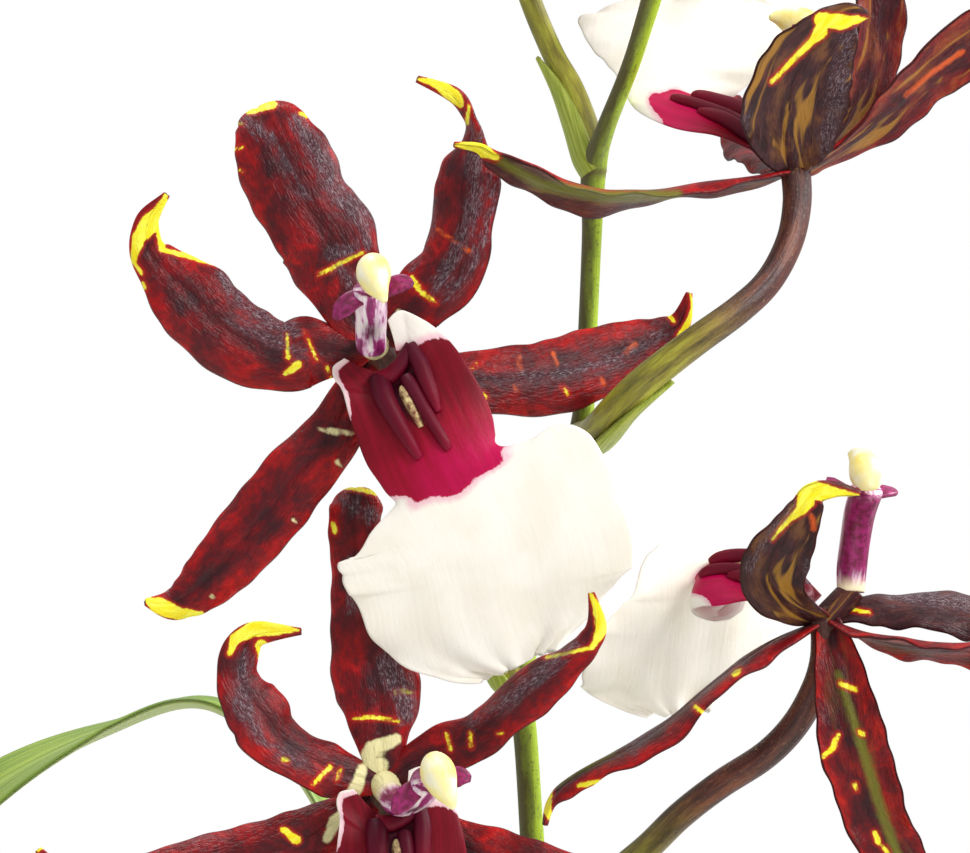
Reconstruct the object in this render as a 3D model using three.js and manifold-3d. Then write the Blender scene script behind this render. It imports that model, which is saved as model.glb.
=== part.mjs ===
// Potted orchid with a zigzag spike of dark red blooms, each with a white ruffled lip.
// Units are millimetres and +Z is up. The origin is the centre of the pot's underside.
// In blooms, points are [across, forward, up]: forward is where an unturned bloom faces, along -Y.
import * as THREE from "three";
import { mergeVertices } from "three/addons/utils/BufferGeometryUtils.js";
import Module from "manifold-3d";

const wasm = await Module();
wasm.setup();

// Driving dimensions
const clearance = 0.3;
const potHeight = 112;
const potRimRadius = 65;
const potFootRadius = 46;
const potWall = 5.5;
const potRimBand = 16;
const potRimLip = 3.5;
const potFloor = 7;
const drainHoleRadius = 5;
const drainHoleOffset = 24;
const mediumTop = 97;
const barkChips = 24;
const barkChipLength = 24;
const goldenAngle = 2.39996;
const tepalThickness = 0.8;
const lipThickness = 0.8;
const leafThickness = 1.2;
const leafFold = 0.32;
const bractThickness = 0.8;
const knobRadius = 3;

// Colours
const terracotta = new THREE.Color(0.62, 0.3, 0.19);
const bark = new THREE.Color(0.2, 0.11, 0.06);
const leafGreen = new THREE.Color(0.16, 0.34, 0.08);
const bulbGreen = new THREE.Color(0.3, 0.42, 0.13);
const rootGrey = new THREE.Color(0.62, 0.64, 0.54);
const stemGreen = new THREE.Color(0.36, 0.55, 0.08);
const pedicelBrown = new THREE.Color(0.24, 0.1, 0.06);
const tepalRed = new THREE.Color(0.3, 0.01, 0.02);
const lipIvory = new THREE.Color(0.93, 0.87, 0.76);
const columnMagenta = new THREE.Color(0.5, 0.05, 0.24);
const capCream = new THREE.Color(0.95, 0.84, 0.6);

// Small helpers
const vector = (x, y, z) => new THREE.Vector3(x, y, z);

function randomSource(seed) {
  let state = seed;
  return () => {
    state = (state * 1664525 + 1013904223) % 4294967296;
    return state / 4294967296;
  };
}

// A smooth curve through rows of any length, at a share of its way from 0 to 1.
function spline(rows, share) {
  const place = share * (rows.length - 1);
  const at = Math.min(Math.floor(place), rows.length - 2);
  const u = place - at;
  const row = (i) => rows[Math.max(0, Math.min(rows.length - 1, i))];
  const [a, b, c, d] = [row(at - 1), row(at), row(at + 1), row(at + 2)];
  return b.map((_, k) => {
    const slope = c[k] - a[k];
    const bend = 2 * a[k] - 5 * b[k] + 4 * c[k] - d[k];
    const twist = 3 * b[k] - a[k] - 3 * c[k] + d[k];
    return b[k] + 0.5 * (slope * u + bend * u * u + twist * u * u * u);
  });
}

// The facing at a share of a blade's length, from rows [share, across, forward, up].
function facingAt(faces, share) {
  const after = Math.max(1, faces.findIndex((row) => row[0] >= share));
  const [from, to] = [faces[after - 1], faces[after]];
  const u = Math.min(1, (share - from[0]) / (to[0] - from[0]));
  return vector(...[1, 2, 3].map((k) => from[k] + (to[k] - from[k]) * u)).normalize();
}

function closedGeometry(points, faces) {
  const geometry = new THREE.BufferGeometry();
  const flat = points.flatMap((p) => [p.x, p.y, p.z]);
  geometry.setAttribute("position", new THREE.Float32BufferAttribute(flat, 3));
  geometry.setIndex(faces);
  return geometry;
}

// A map from a bloom's own axes to the plant's axes.
function placing(centre, size, forward, up) {
  const ahead = vector(...forward).normalize();
  const above = vector(...up).addScaledVector(ahead, -ahead.dot(vector(...up))).normalize();
  const across = above.clone().cross(ahead);
  return (x, y, z) =>
    vector(...centre)
      .addScaledVector(across, x * size)
      .addScaledVector(ahead, y * size)
      .addScaledVector(above, z * size);
}

const inPlace = (x, y, z) => vector(x, y, z);

// One place on a blade's middle surface, from its share of the length and v from -1 to 1 across.
function bladePoint({ rows, faces, ruffle, rise = 0 }, place, share, v, grow = 0) {
  const centreAt = (at) => place(...spline(rows, at).slice(0, 3));
  const [, , , half, sweep = 0, lift = rise * half] = spline(rows, share);
  const before = centreAt(Math.max(0, share - 0.01));
  const tangent = centreAt(Math.min(1, share + 0.01)).sub(before).normalize();
  const facing = place(...facingAt(faces, share).toArray()).sub(place(0, 0, 0)).normalize();
  const normal = facing.addScaledVector(tangent, -facing.dot(tangent)).normalize();
  const side = tangent.clone().cross(normal);
  const height = lift * v * v + (ruffle ? ruffle(share, v, half) : 0);
  const point = centreAt(share)
    .addScaledVector(side, (half + grow) * v)
    .addScaledVector(tangent, -sweep * v * v)
    .addScaledVector(normal, height);
  return { point, normal };
}

// A thin closed blade along rows [x, y, z, half width, sweep, rise].
// Sweep carries its edges back towards the base, and rise lifts them towards its facing.
function blade(shape, place, grow = 0) {
  const { along, across, thickness } = shape;
  const top = [];
  const under = [];
  for (let i = 0; i <= along; i += 1) {
    for (let j = 0; j <= across; j += 1) {
      const v = (2 * j) / across - 1;
      const { point, normal } = bladePoint(shape, place, i / along, v, grow);
      top.push(point.clone().addScaledVector(normal, thickness / 2 + grow));
      under.push(point.addScaledVector(normal, -thickness / 2 - grow));
    }
  }
  const count = top.length;
  const a = (i, j) => i * (across + 1) + j;
  const b = (i, j) => count + a(i, j);
  const faceList = [];
  for (let i = 0; i < along; i += 1) {
    for (let j = 0; j < across; j += 1) {
      faceList.push(a(i, j), a(i, j + 1), a(i + 1, j + 1));
      faceList.push(a(i, j), a(i + 1, j + 1), a(i + 1, j));
      faceList.push(b(i, j), b(i + 1, j + 1), b(i, j + 1));
      faceList.push(b(i, j), b(i + 1, j), b(i + 1, j + 1));
    }
    faceList.push(a(i, 0), a(i + 1, 0), b(i + 1, 0));
    faceList.push(a(i, 0), b(i + 1, 0), b(i, 0));
    faceList.push(a(i, across), b(i, across), b(i + 1, across));
    faceList.push(a(i, across), b(i + 1, across), a(i + 1, across));
  }
  for (let j = 0; j < across; j += 1) {
    faceList.push(a(0, j), b(0, j), b(0, j + 1));
    faceList.push(a(0, j), b(0, j + 1), a(0, j + 1));
    faceList.push(a(along, j), b(along, j + 1), b(along, j));
    faceList.push(a(along, j), a(along, j + 1), b(along, j + 1));
  }
  return closedGeometry([...top, ...under], faceList);
}

// A closed round body along rows [x, y, z, radius], with an outline factor for each angle.
function loft({ rows, along, sides, reference = [0, 1, 0], outline }, place = inPlace, grow = 0) {
  const centreAt = (share) => place(...spline(rows, share).slice(0, 3));
  const origin = place(0, 0, 0);
  let normal = place(...reference).sub(origin).normalize();
  const points = [];
  for (let i = 0; i <= along; i += 1) {
    const share = i / along;
    const centre = centreAt(share);
    const before = centreAt(Math.max(0, share - 0.01));
    const tangent = centreAt(Math.min(1, share + 0.01)).sub(before).normalize();
    normal = normal.addScaledVector(tangent, -normal.dot(tangent)).normalize();
    const side = tangent.clone().cross(normal);
    const radius = Math.max(0.25, spline(rows, share)[3]);
    for (let j = 0; j < sides; j += 1) {
      const angle = (2 * Math.PI * j) / sides;
      const reach = radius * (outline ? outline(angle, share) : 1) + grow;
      const point = centre.clone().addScaledVector(normal, reach * Math.cos(angle));
      points.push(point.addScaledVector(side, reach * Math.sin(angle)));
    }
  }
  const start = points.push(centreAt(0)) - 1;
  const end = points.push(centreAt(1)) - 1;
  const at = (i, j) => i * sides + (j % sides);
  const faceList = [];
  for (let j = 0; j < sides; j += 1) {
    for (let i = 0; i < along; i += 1) {
      faceList.push(at(i, j), at(i, j + 1), at(i + 1, j + 1));
      faceList.push(at(i, j), at(i + 1, j + 1), at(i + 1, j));
    }
    faceList.push(start, at(0, j + 1), at(0, j));
    faceList.push(end, at(along, j), at(along, j + 1));
  }
  return closedGeometry(points, faceList);
}

// Solids that can be joined and cut
function solid(geometry) {
  const bare = geometry.clone();
  bare.deleteAttribute("normal");
  bare.deleteAttribute("uv");
  const merged = mergeVertices(bare, 1e-4);
  const faces = [];
  const index = merged.index.array;
  for (let i = 0; i < index.length; i += 3) {
    const [p, q, r] = [index[i], index[i + 1], index[i + 2]];
    if (p !== q && q !== r && r !== p) faces.push(p, q, r);
  }
  const vertProperties = merged.attributes.position.array;
  const triVerts = new Uint32Array(faces);
  return new wasm.Manifold(new wasm.Mesh({ numProp: 3, vertProperties, triVerts }));
}

const fused = (solids) => solids.reduce((whole, next) => whole.add(next));

// The largest piece of a solid, as a geometry: cutting can leave loose crumbs.
function geometryOf(body) {
  const pieces = body.decompose();
  const largest = pieces.reduce((best, piece) => (piece.volume() > best.volume() ? piece : best));
  const { vertProperties, triVerts } = largest.getMesh();
  const geometry = new THREE.BufferGeometry();
  geometry.setAttribute("position", new THREE.BufferAttribute(new Float32Array(vertProperties), 3));
  geometry.setIndex([...triVerts]);
  return geometry;
}

const plant = new THREE.Group();

function addMesh(name, geometry, color, roughness = 0.5) {
  const material = new THREE.MeshStandardMaterial({ color, roughness, metalness: 0 });
  const mesh = new THREE.Mesh(geometry, material);
  mesh.name = name;
  plant.add(mesh);
}

// Spike: the zigzag stem, its nodes and bracts
const stemRows = [
  [8, 4, 84, 3],
  [9, 4, 118, 3],
  [12, 3, 160, 2.8],
  [17, 2, 210, 2.6],
  [23, 1, 260, 2.4],
  [29, 0, 300, 2.2],
  [32.5, 0, 317, 2.35],
  [36.5, 0, 340, 1.9],
  [38, 0, 354.5, 2.2],
  [37.2, 0, 366, 1.85],
  [36, 0, 384, 1.8],
  [34.8, 0, 391, 2.1],
  [37.5, 0, 401, 1.6],
  [43.2, 0, 422, 1.5],
  [44.4, 0, 428.5, 1.9],
  [45, 0, 436, 1.5],
  [46, 0, 458, 1.5],
  [46.3, -2, 468.5, 1.9],
  [48, -7, 474.5, 1.4],
  [52.4, -14, 486, 1.35],
  [57.4, -19, 504.5, 1.7],
  [60, -22, 524, 1.2],
  [61, -23.5, 538, 1.5],
  [63.4, -26, 556, 1.1],
  [64.4, -27, 564, 1.3],
  [65.4, -29, 582, 0.9],
  [65.8, -30, 590, 0.8],
];
const stemShape = { rows: stemRows, along: 44, sides: 7 };

const pedicelRows = {
  bloom_1: [
    [32.2, 0, 316, 2.1],
    [27, -4, 325, 2.1],
    [21.5, -10, 338, 2],
    [17.5, -17, 352, 2],
    [15.6, -22, 364, 2.1],
    [15.2, -27, 374, 2.3],
    [15.5, -30, 378, 2.3],
  ],
  bloom_2: [
    [38, 0, 354, 2.2],
    [42.5, -4, 358, 2.2],
    [47.1, -8, 361.8, 2.1],
    [53.6, -15, 367.6, 2.1],
    [58.6, -21, 373, 2.1],
    [64.2, -26, 377.8, 2.1],
    [70.6, -30, 382.3, 2.1],
    [74.8, -32, 386.8, 2.1],
    [77.6, -34, 392, 2.1],
    [79, -35, 396.6, 2.2],
    [79.2, -35, 402.1, 2.3],
  ],
  bloom_3: [
    [34.8, 0, 390.5, 2.1],
    [31.5, -3, 398, 2],
    [27.7, -8, 410, 2],
    [22.5, -15, 424, 2],
    [18, -22, 435, 2.1],
    [14, -28, 441.8, 2.3],
  ],
  bloom_4: [
    [44.4, 0, 428.5, 2.3],
    [45.4, -8, 428.6, 2.4],
    [46.8, -18, 429.8, 2.4],
    [49.6, -26, 433.2, 2.3],
    [53.6, -30, 437, 2.3],
    [60, -31, 442, 2.2],
    [66.9, -29, 447, 2.1],
    [71.4, -26, 451.3, 2],
    [74.5, -23, 457, 2],
    [75.7, -21, 462.6, 2.1],
    [75.6, -20, 467.3, 2.2],
  ],
  bloom_5: [
    [46.3, -2, 468, 2],
    [45.6, 0, 473, 2.1],
    [43.2, 4, 480.5, 1.9],
    [40, 8, 487, 1.7],
    [36.2, 13, 497, 1.7],
    [33, 17, 510, 1.8],
    [31, 19.5, 521, 2],
    [30.5, 20, 528, 2.2],
  ],
  bloom_6: [
    [57.4, -19, 504.5, 1.9],
    [61, -18, 510, 1.9],
    [69, -13, 516, 1.8],
    [79, -8, 524, 1.8],
    [87, -3, 533, 1.9],
    [90, -0.5, 542, 2.1],
    [90.5, 0, 548, 2.2],
  ],
};

// A bract clasps the foot of each pedicel and follows it for a share of its length.
const bractShapes = [
  { bloom: "bloom_1", reach: 0.32, half: 3.2, below: [-0.5, -0.3, -0.5] },
  { bloom: "bloom_2", reach: 0.3, half: 3.2, below: [0.3, 0, -1] },
  { bloom: "bloom_3", reach: 0.26, half: 3, below: [-0.7, -0.3, -0.5] },
  { bloom: "bloom_4", reach: 0.44, half: 3.4, below: [0.5, 0.1, -1] },
  { bloom: "bloom_5", reach: 0.42, half: 3, below: [-0.8, -0.5, -0.3] },
  { bloom: "bloom_6", reach: 0.3, half: 2.8, below: [0.4, 0, -1] },
];

function bractRows({ bloom, reach, half, below }) {
  const away = vector(...below).normalize();
  const shares = [0, 0.25, 0.5, 0.75, 1];
  const widths = [0.75, 1, 0.85, 0.5, 0.08];
  const offsets = [1.6, 2.9, 3.1, 2.9, 2.7];
  return shares.map((share, i) => {
    const [x, y, z] = spline(pedicelRows[bloom], share * reach);
    const point = vector(x, y, z).addScaledVector(away, offsets[i]);
    return [point.x, point.y, point.z, half * widths[i]];
  });
}

function bract(shape) {
  const inwards = shape.below.map((n) => -n);
  const faces = [[0, ...inwards], [1, ...inwards]];
  const rows = bractRows(shape);
  const blank = { rows, faces, along: 3, across: 2, thickness: bractThickness, rise: 0.5 };
  return solid(blade(blank, inPlace));
}

const stemSolid = solid(loft(stemShape));
const stemRoom = solid(loft(stemShape, inPlace, clearance));

// Blooms: the tepals, each as rows [across, forward, up, half width]
const facingViewer = [[0, 0, 1, 0], [1, 0, 1, 0]];

const frontTepals = [
  {
    name: "dorsal sepal",
    rows: [
      [-0.6, 0.2, 1, 2],
      [-3.6, 0.6, 4.5, 3.4],
      [-5.6, 1.2, 10.8, 6.2],
      [-7, 1.6, 15.7, 7.3],
      [-10.2, 1.6, 20.6, 6.8],
      [-13.1, 1, 26.2, 7.3],
      [-15.4, 0.2, 31.4, 6.1],
      [-17.2, -1.6, 35, 4.6],
      [-17.9, -4, 35.4, 3],
      [-17.4, -6, 33, 0.8],
    ],
    faces: [[0, 0.1, 1, 0], [0.75, -0.1, 1, 0.1], [0.88, -0.3, 0.3, 1], [1, -0.2, -1, 0.8]],
  },
  {
    name: "left petal",
    rows: [
      [-0.8, 0.6, 0, 1.8],
      [-4.5, 0.8, -1, 3.2],
      [-9.8, 1.6, -0.8, 5.1],
      [-13.8, 2.2, -1.6, 5.2],
      [-18.8, 2.8, 0, 5.8],
      [-24, 3.4, 3.6, 5.9],
      [-27.8, 3.6, 7.6, 5.8],
      [-31.8, 3.4, 11.6, 3.9],
      [-33.9, 3.2, 14.4, 2.6],
      [-33.9, 3.8, 18.6, 1.7],
      [-31, 5, 22.5, 0.4],
    ],
    faces: [[0, 0, 1, 0.1], [0.6, 0, 1, 0.15], [1, 0.3, 1, 0]],
  },
  {
    name: "right petal",
    rows: [
      [0.8, 0.4, 0.8, 1.8],
      [3.2, 0.2, 3.4, 3.2],
      [6.4, 0.4, 6.8, 4.8],
      [10.8, 1.2, 11.7, 5.2],
      [12.4, 2, 17.5, 5.2],
      [13.2, 2.6, 23, 5.3],
      [13.7, 2.4, 27.4, 4.3],
      [14.6, 2, 31, 2.4],
      [14.2, 2.4, 33.8, 1.5],
      [11.8, 3.4, 37.3, 1.2],
      [6.4, 5, 39.7, 0.4],
    ],
    faces: [[0, -0.3, 1, 0], [0.6, -0.5, 0.85, 0], [0.8, -0.9, 0.5, 0], [1, -0.4, 1, 0]],
  },
  {
    name: "left lateral sepal",
    rows: [
      [-0.6, -0.4, -0.8, 1.6],
      [-3, -0.6, -6.6, 3],
      [-6.8, 0, -13.8, 4.4],
      [-12.4, 0.8, -20.2, 5],
      [-16.8, 1.2, -25.8, 5.3],
      [-21.8, 1.2, -31.5, 4.8],
      [-25.4, 0.6, -35.4, 4.1],
      [-28.5, -0.4, -37.8, 3.1],
      [-31, -1, -38.9, 2.1],
      [-34.5, 0, -38.5, 0.4],
    ],
    faces: [[0, 0, 1, 0.1], [1, 0, 1, 0.2]],
  },
  {
    name: "right lateral sepal",
    rows: [
      [0.6, -0.8, -0.8, 1.6],
      [5, -1.4, -3.6, 3],
      [11, -1.6, -5, 4.2],
      [17.4, -3.4, -5.2, 4.8],
      [24.8, -6, -4.8, 5.5],
      [30.8, -8.6, -3.2, 5.6],
      [36, -11.2, -1.4, 5.2],
      [40.5, -13.2, 0.3, 4.1],
      [44, -14.4, 2, 2.8],
      [46.4, -14.8, 4, 1.6],
      [47.6, -14.2, 8.2, 0.4],
    ],
    faces: [[0, 0, 1, 0.2], [1, 0.1, 1, 0.1]],
  },
];

const lowFrontTepals = [
  {
    name: "dorsal sepal",
    rows: [
      [-0.2, 0, 1.2, 2],
      [-0.6, -0.4, 7.5, 4.2],
      [-0.9, -1, 12.8, 6],
      [-1.9, -1.6, 18, 6.3],
      [-2.8, -2.4, 24, 5.4],
      [-3.6, -3.2, 30, 4.6],
      [-4.4, -4, 35.2, 4],
      [-4.8, -4.6, 39, 3.8],
      [-4.6, -5.4, 42.4, 3.8],
      [-4.6, -7, 44.2, 2.4],
      [-4.8, -9, 43.6, 0.6],
    ],
    faces: [[0, 0, 1, 0], [0.75, -0.1, 1, 0.2], [0.9, 0, 0.3, 1], [1, 0, -0.8, 1]],
  },
  {
    name: "left petal",
    rows: [
      [-0.8, 0.4, 0.4, 1.8],
      [-4, 0.8, 1.2, 2.8],
      [-8, 1.8, 2.6, 4],
      [-12, 3, 4.6, 4.3],
      [-15.8, 4, 7.4, 4.7],
      [-18.2, 4.4, 10.8, 5],
      [-20.4, 4.4, 13.6, 4.4],
      [-21.7, 4.2, 17, 3.2],
      [-21.2, 4, 20.4, 2.7],
      [-19, 4.2, 22.8, 1.9],
      [-12.4, 5, 23.3, 0.4],
    ],
    faces: [[0, 0.1, 1, 0.2], [0.3, 0.5, 1, 0.5], [0.6, 0.5, 1, 0.2], [1, 0.2, 1, -0.2]],
  },
  {
    name: "right petal",
    rows: [
      [0.8, 0.4, 0.6, 1.8],
      [3.6, 0.6, 3, 2.8],
      [8.2, 1.4, 5.7, 3.6],
      [13.5, 4.2, 8, 3.9],
      [18, 7.4, 11.8, 4.2],
      [22.5, 9.8, 15.5, 3.9],
      [27, 11.4, 18.8, 2.8],
      [30.2, 12, 21.8, 2],
      [31.4, 12, 24.6, 1.4],
      [30.8, 12.2, 29.2, 0.4],
    ],
    faces: [[0, -0.1, 1, 0.3], [0.5, -0.3, 1, 0.6], [1, -0.5, 1, 0]],
  },
  {
    name: "left lateral sepal",
    rows: [
      [-0.6, -0.4, -0.6, 1.6],
      [-4, -0.6, -3.4, 3],
      [-8.4, -0.4, -6, 4],
      [-14, 0, -8.8, 4.8],
      [-21, 0.6, -11, 5.2],
      [-28.5, 0.8, -13, 5.3],
      [-36, 0.6, -15, 4.8],
      [-43.5, 0, -15.6, 3.6],
      [-48.5, -0.4, -14.2, 2.2],
      [-52, 0, -9.6, 0.4],
    ],
    faces: [[0, 0, 1, 0.2], [1, 0, 1, 0.3]],
  },
  {
    name: "right lateral sepal",
    rows: [
      [0.6, -0.4, -0.8, 1.6],
      [4.6, -0.6, -4.6, 3],
      [10.5, -0.4, -9, 4.2],
      [17.2, 0, -11.6, 5],
      [24.8, 0.4, -14.4, 5.4],
      [32.2, 0.6, -18, 5.2],
      [39, 0.4, -21.4, 4],
      [44, -0.2, -23, 2.5],
      [47.8, -0.4, -19, 0.4],
    ],
    faces: [[0, 0, 1, 0.2], [1, 0, 1, 0.3]],
  },
];

const highBackTepals = [
  {
    name: "left lateral sepal",
    rows: [
      [-0.8, 0, 0, 1.8],
      [-7, 1.6, -1.2, 3.4],
      [-14.6, 4, -2.1, 4.6],
      [-22, 7, -3.5, 5.2],
      [-29.6, 10, -3.9, 5.2],
      [-35.6, 12.4, -2.5, 4.6],
      [-40.8, 14.2, -0.5, 3.6],
      [-44.9, 15.4, 1.5, 2.3],
      [-47.6, 16, 3, 1.3],
      [-51.2, 16.6, 3.3, 0.4],
    ],
    faces: [[0, 0, -0.1, 1], [0.35, 0, -0.15, 1], [0.6, 0.1, -0.42, 1], [1, 0.3, -0.5, 1]],
  },
  {
    name: "near petal",
    rows: [
      [-0.2, 1, 0.2, 1.8],
      [-0.6, 3.6, 3, 5],
      [-1, 7, 7.6, 7.4],
      [-0.2, 10, 12.2, 7.6],
      [2, 12.2, 16.8, 6.5],
      [4.6, 13.2, 20, 4.6],
      [7.2, 13.2, 22.3, 2.4],
      [10, 12.4, 22.8, 0.5],
    ],
    faces: [[0, 0, -0.6, 1], [0.5, 0, -0.9, 0.5], [1, 0, -1, 0.2]],
  },
  {
    name: "far petal",
    rows: [
      [0.6, -0.6, 0.4, 1.8],
      [5.4, -2.4, 5, 3.8],
      [9.2, -3.6, 10.8, 5],
      [11.4, -4.2, 17, 5.2],
      [12.2, -4.2, 24.2, 4.7],
      [12.4, -3.6, 31, 3],
      [12.8, -2.4, 36.4, 0.4],
    ],
    faces: [[0, -0.4, -0.6, 1], [0.4, -0.7, -0.8, 0.3], [1, -0.6, -0.9, 0]],
  },
  {
    name: "dorsal sepal",
    rows: [
      [0.8, 0.2, 0.2, 1.8],
      [6.4, 0.2, 3.4, 3.2],
      [12.4, 0.8, 8, 4.2],
      [17.7, 1.4, 13, 5],
      [22.6, 1.8, 17.6, 5.2],
      [28.4, 1.8, 21.4, 4.6],
      [33.6, 1.4, 23.8, 2.8],
      [37.5, 1, 26.6, 0.4],
    ],
    faces: [[0, -0.3, -0.3, 1], [0.5, -0.5, -0.8, 0.4], [1, -0.5, -0.8, 0.3]],
  },
  {
    name: "far lateral sepal",
    rows: [
      [-0.4, -0.8, 0.2, 1.8],
      [-1.4, -6, 1.4, 3.6],
      [-2.8, -14, 3, 4.8],
      [-4.2, -22, 5, 5.2],
      [-5.4, -30, 7.4, 4.8],
      [-6.4, -37, 10, 3.4],
      [-7, -43, 13.6, 0.4],
    ],
    faces: [[0, 0, 0.2, 1], [1, 0, 0.4, 1]],
  },
];

const lowBackTepals = [
  {
    name: "near petal",
    rows: [
      [-0.8, 0.8, 0.2, 1.8],
      [-4.8, 3.4, 2.2, 3.4],
      [-8, 7, 5.8, 5],
      [-7.4, 10.2, 9.8, 4.7],
      [-5.4, 12.8, 13.6, 3.6],
      [-3.8, 14.4, 16.8, 2.5],
      [-2.6, 14.8, 19.2, 1.7],
      [0.4, 14.6, 19.8, 1.1],
      [4.2, 14, 19.2, 0.4],
    ],
    faces: [[0, 0, -0.6, 1], [0.3, 0.4, -0.9, 0.5], [1, 0, -1, 0.2]],
  },
  {
    name: "left lateral sepal",
    rows: [
      [-0.8, 0.2, -0.4, 1.6],
      [-7.2, 1, -3, 3.2],
      [-12.4, 1.6, -6.3, 4.2],
      [-18, 2.2, -10.5, 5],
      [-24, 2.6, -15.6, 5.2],
      [-30, 2.6, -19.6, 4.8],
      [-35.2, 2.2, -22.2, 3.8],
      [-39, 1.6, -24.8, 2.4],
      [-41.4, 1.2, -27.4, 1.4],
      [-42.2, 1, -30.7, 0.4],
    ],
    faces: [[0, -0.2, 0.1, 1], [0.4, -0.4, 0.1, 1], [0.8, -0.6, 0.4, 0.9], [1, -0.8, 0.4, 0.6]],
  },
  {
    name: "hanging petal",
    rows: [
      [0.4, 1, -0.4, 1.8],
      [1.4, 3.4, -5.4, 3.2],
      [2.6, 5, -12, 4.4],
      [3.8, 5.6, -18, 5],
      [5.6, 5.4, -24, 4.9],
      [7.6, 4.6, -30, 4.6],
      [10.4, 3.6, -35, 4.1],
      [13.6, 2.8, -40, 3.2],
      [18.6, 2.6, -48, 0.4],
    ],
    faces: [[0, 0, -0.7, 0.6], [0.3, 0.1, -1, 0.2], [1, 0.2, -1, 0]],
  },
  {
    name: "dorsal sepal",
    rows: [
      [0.8, -0.2, 0.4, 1.8],
      [6, -0.6, 2, 3.4],
      [12, -1.2, 2.3, 4.8],
      [18, -1.8, 2, 5.3],
      [24, -2.4, 1.3, 5.2],
      [29.5, -2.8, -0.2, 4.3],
      [34, -2.8, -2.2, 2.7],
      [38, -2.6, -4.6, 0.4],
    ],
    faces: [[0, 0, 0.5, 1], [0.5, 0, 0.62, 1], [1, 0.3, 0.6, 1]],
  },
  {
    name: "right lateral sepal",
    rows: [
      [0.8, 0.8, -0.4, 1.6],
      [6, 4, -2.2, 3.2],
      [12, 7, -3.4, 4.4],
      [18.4, 9.2, -3.9, 5],
      [25, 10.6, -4, 4.9],
      [31.4, 11, -4.8, 3.8],
      [36, 10.6, -6.6, 2.2],
      [39, 10, -9, 0.4],
    ],
    faces: [[0, 0, -0.3, 1], [0.5, 0.1, -0.35, 1], [1, 0.4, -0.3, 1]],
  },
];

// Lip rows are [across, forward, up, half width, sweep, rise]: claw, red shield, waist, white lobe.
const lipRows = [
  [1, 3.3, -4.6, 4.2, 5.6, 2.2],
  [1.4, 3.9, -5.9, 6.6, 6.8, 2.4],
  [1.8, 4.7, -7.4, 8, 4.8, 2.2],
  [1.9, 5.8, -9, 9.2, 1.2, 0.6],
  [1.95, 7.2, -12.4, 9.7, 0, -1],
  [1.9, 8.4, -16, 9.7, 0, -1.8],
  [1.9, 9, -19.6, 9, 0, -1.8],
  [2.2, 9.3, -22.6, 8.8, 0.3, -1.4],
  [2.5, 9.1, -25.6, 14.5, 1.4, -1],
  [3, 8.6, -29, 20, 3, -0.8],
  [3.1, 7.8, -33.2, 20.8, 2.2, -0.6],
  [2.5, 6.8, -37.8, 20.8, 1, -0.8],
  [1.4, 5.8, -42.2, 19.6, 0.4, -1],
  [0.8, 5, -46.2, 16.6, 0.2, -1],
  [0.6, 4.4, -50, 11.6, 0, -0.8],
  [0.6, 4, -52.4, 6, 0, -0.6],
];
const frontLip = { rows: lipRows, faces: facingViewer };

// On the high bloom at the back the lip runs up and left, then its lobe bends away.
const highBackLip = {
  rows: [
    [-2.6, -5.8, 2, 2.9, 0.5, 1],
    [-5.4, -5.8, 4.4, 5.4, 0, 1],
    [-9, -6.6, 7.4, 7.6, 0, 0.4],
    [-13, -8, 9.6, 8, 0, -1],
    [-16.4, -10, 11.2, 7.2, 0, -1.4],
    [-17.4, -12.6, 12.6, 7.4, 0, -1.2],
    [-16.8, -15.6, 15, 9.6, 0, -1],
    [-16, -19, 18, 12.4, 0, -0.8],
    [-15, -23.4, 21.4, 16, 0.6, -0.6],
    [-14, -28, 24.8, 17.6, 0.6, -0.8],
    [-13.4, -32.6, 27.6, 14.4, 0.4, -1],
    [-13, -36.6, 30, 6, 0, -0.6],
  ],
  faces: [[0, 0.3, 0.4, 1], [0.4, 0.1, 0.45, 1], [0.6, 0, 0.4, 1], [1, 0, 0.3, 1]],
};

// On the low bloom at the back the lip runs left, and its lobe hangs down behind it.
const lowBackLip = {
  rows: [
    [-2.2, -4.8, 1.8, 3.2, 0.5, 1],
    [-5.6, -5.2, 3.8, 5.4, 0, 1],
    [-9.6, -5.6, 6, 7.6, 0, 0.4],
    [-13.6, -6.2, 7.2, 8.2, 0, -1.2],
    [-17.2, -7.4, 7.2, 7.2, 0, -1.8],
    [-19, -9.4, 5.8, 7.6, 0, -1.4],
    [-19.8, -11.6, 3.2, 11, 0.6, -1],
    [-20.4, -13.8, -0.4, 15.4, 1.2, -0.8],
    [-21, -15.8, -4.6, 18, 0.8, -0.6],
    [-21.4, -17.6, -8.6, 17, 0.4, -0.8],
    [-21.8, -19, -12, 12.4, 0.2, -1],
    [-22, -20, -14.6, 5, 0, -0.6],
  ],
  faces: [
    [0, 0, 0.4, 1],
    [0.35, 0, 0.5, 0.85],
    [0.5, 0.3, 0.8, 0.5],
    [0.65, 0.55, 0.8, 0.1],
    [1, 0.5, 0.85, 0],
  ],
};

// Fingers of the callus, each as rows [share of the lip's length, place across, radius]
const calluses = [
  [[0.11, -0.3, 1.4], [0.22, -0.3, 1.4], [0.34, -0.34, 0.6]],
  [[0.11, 0.16, 1.4], [0.24, 0.08, 1.4], [0.38, 0.2, 0.6]],
];

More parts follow.
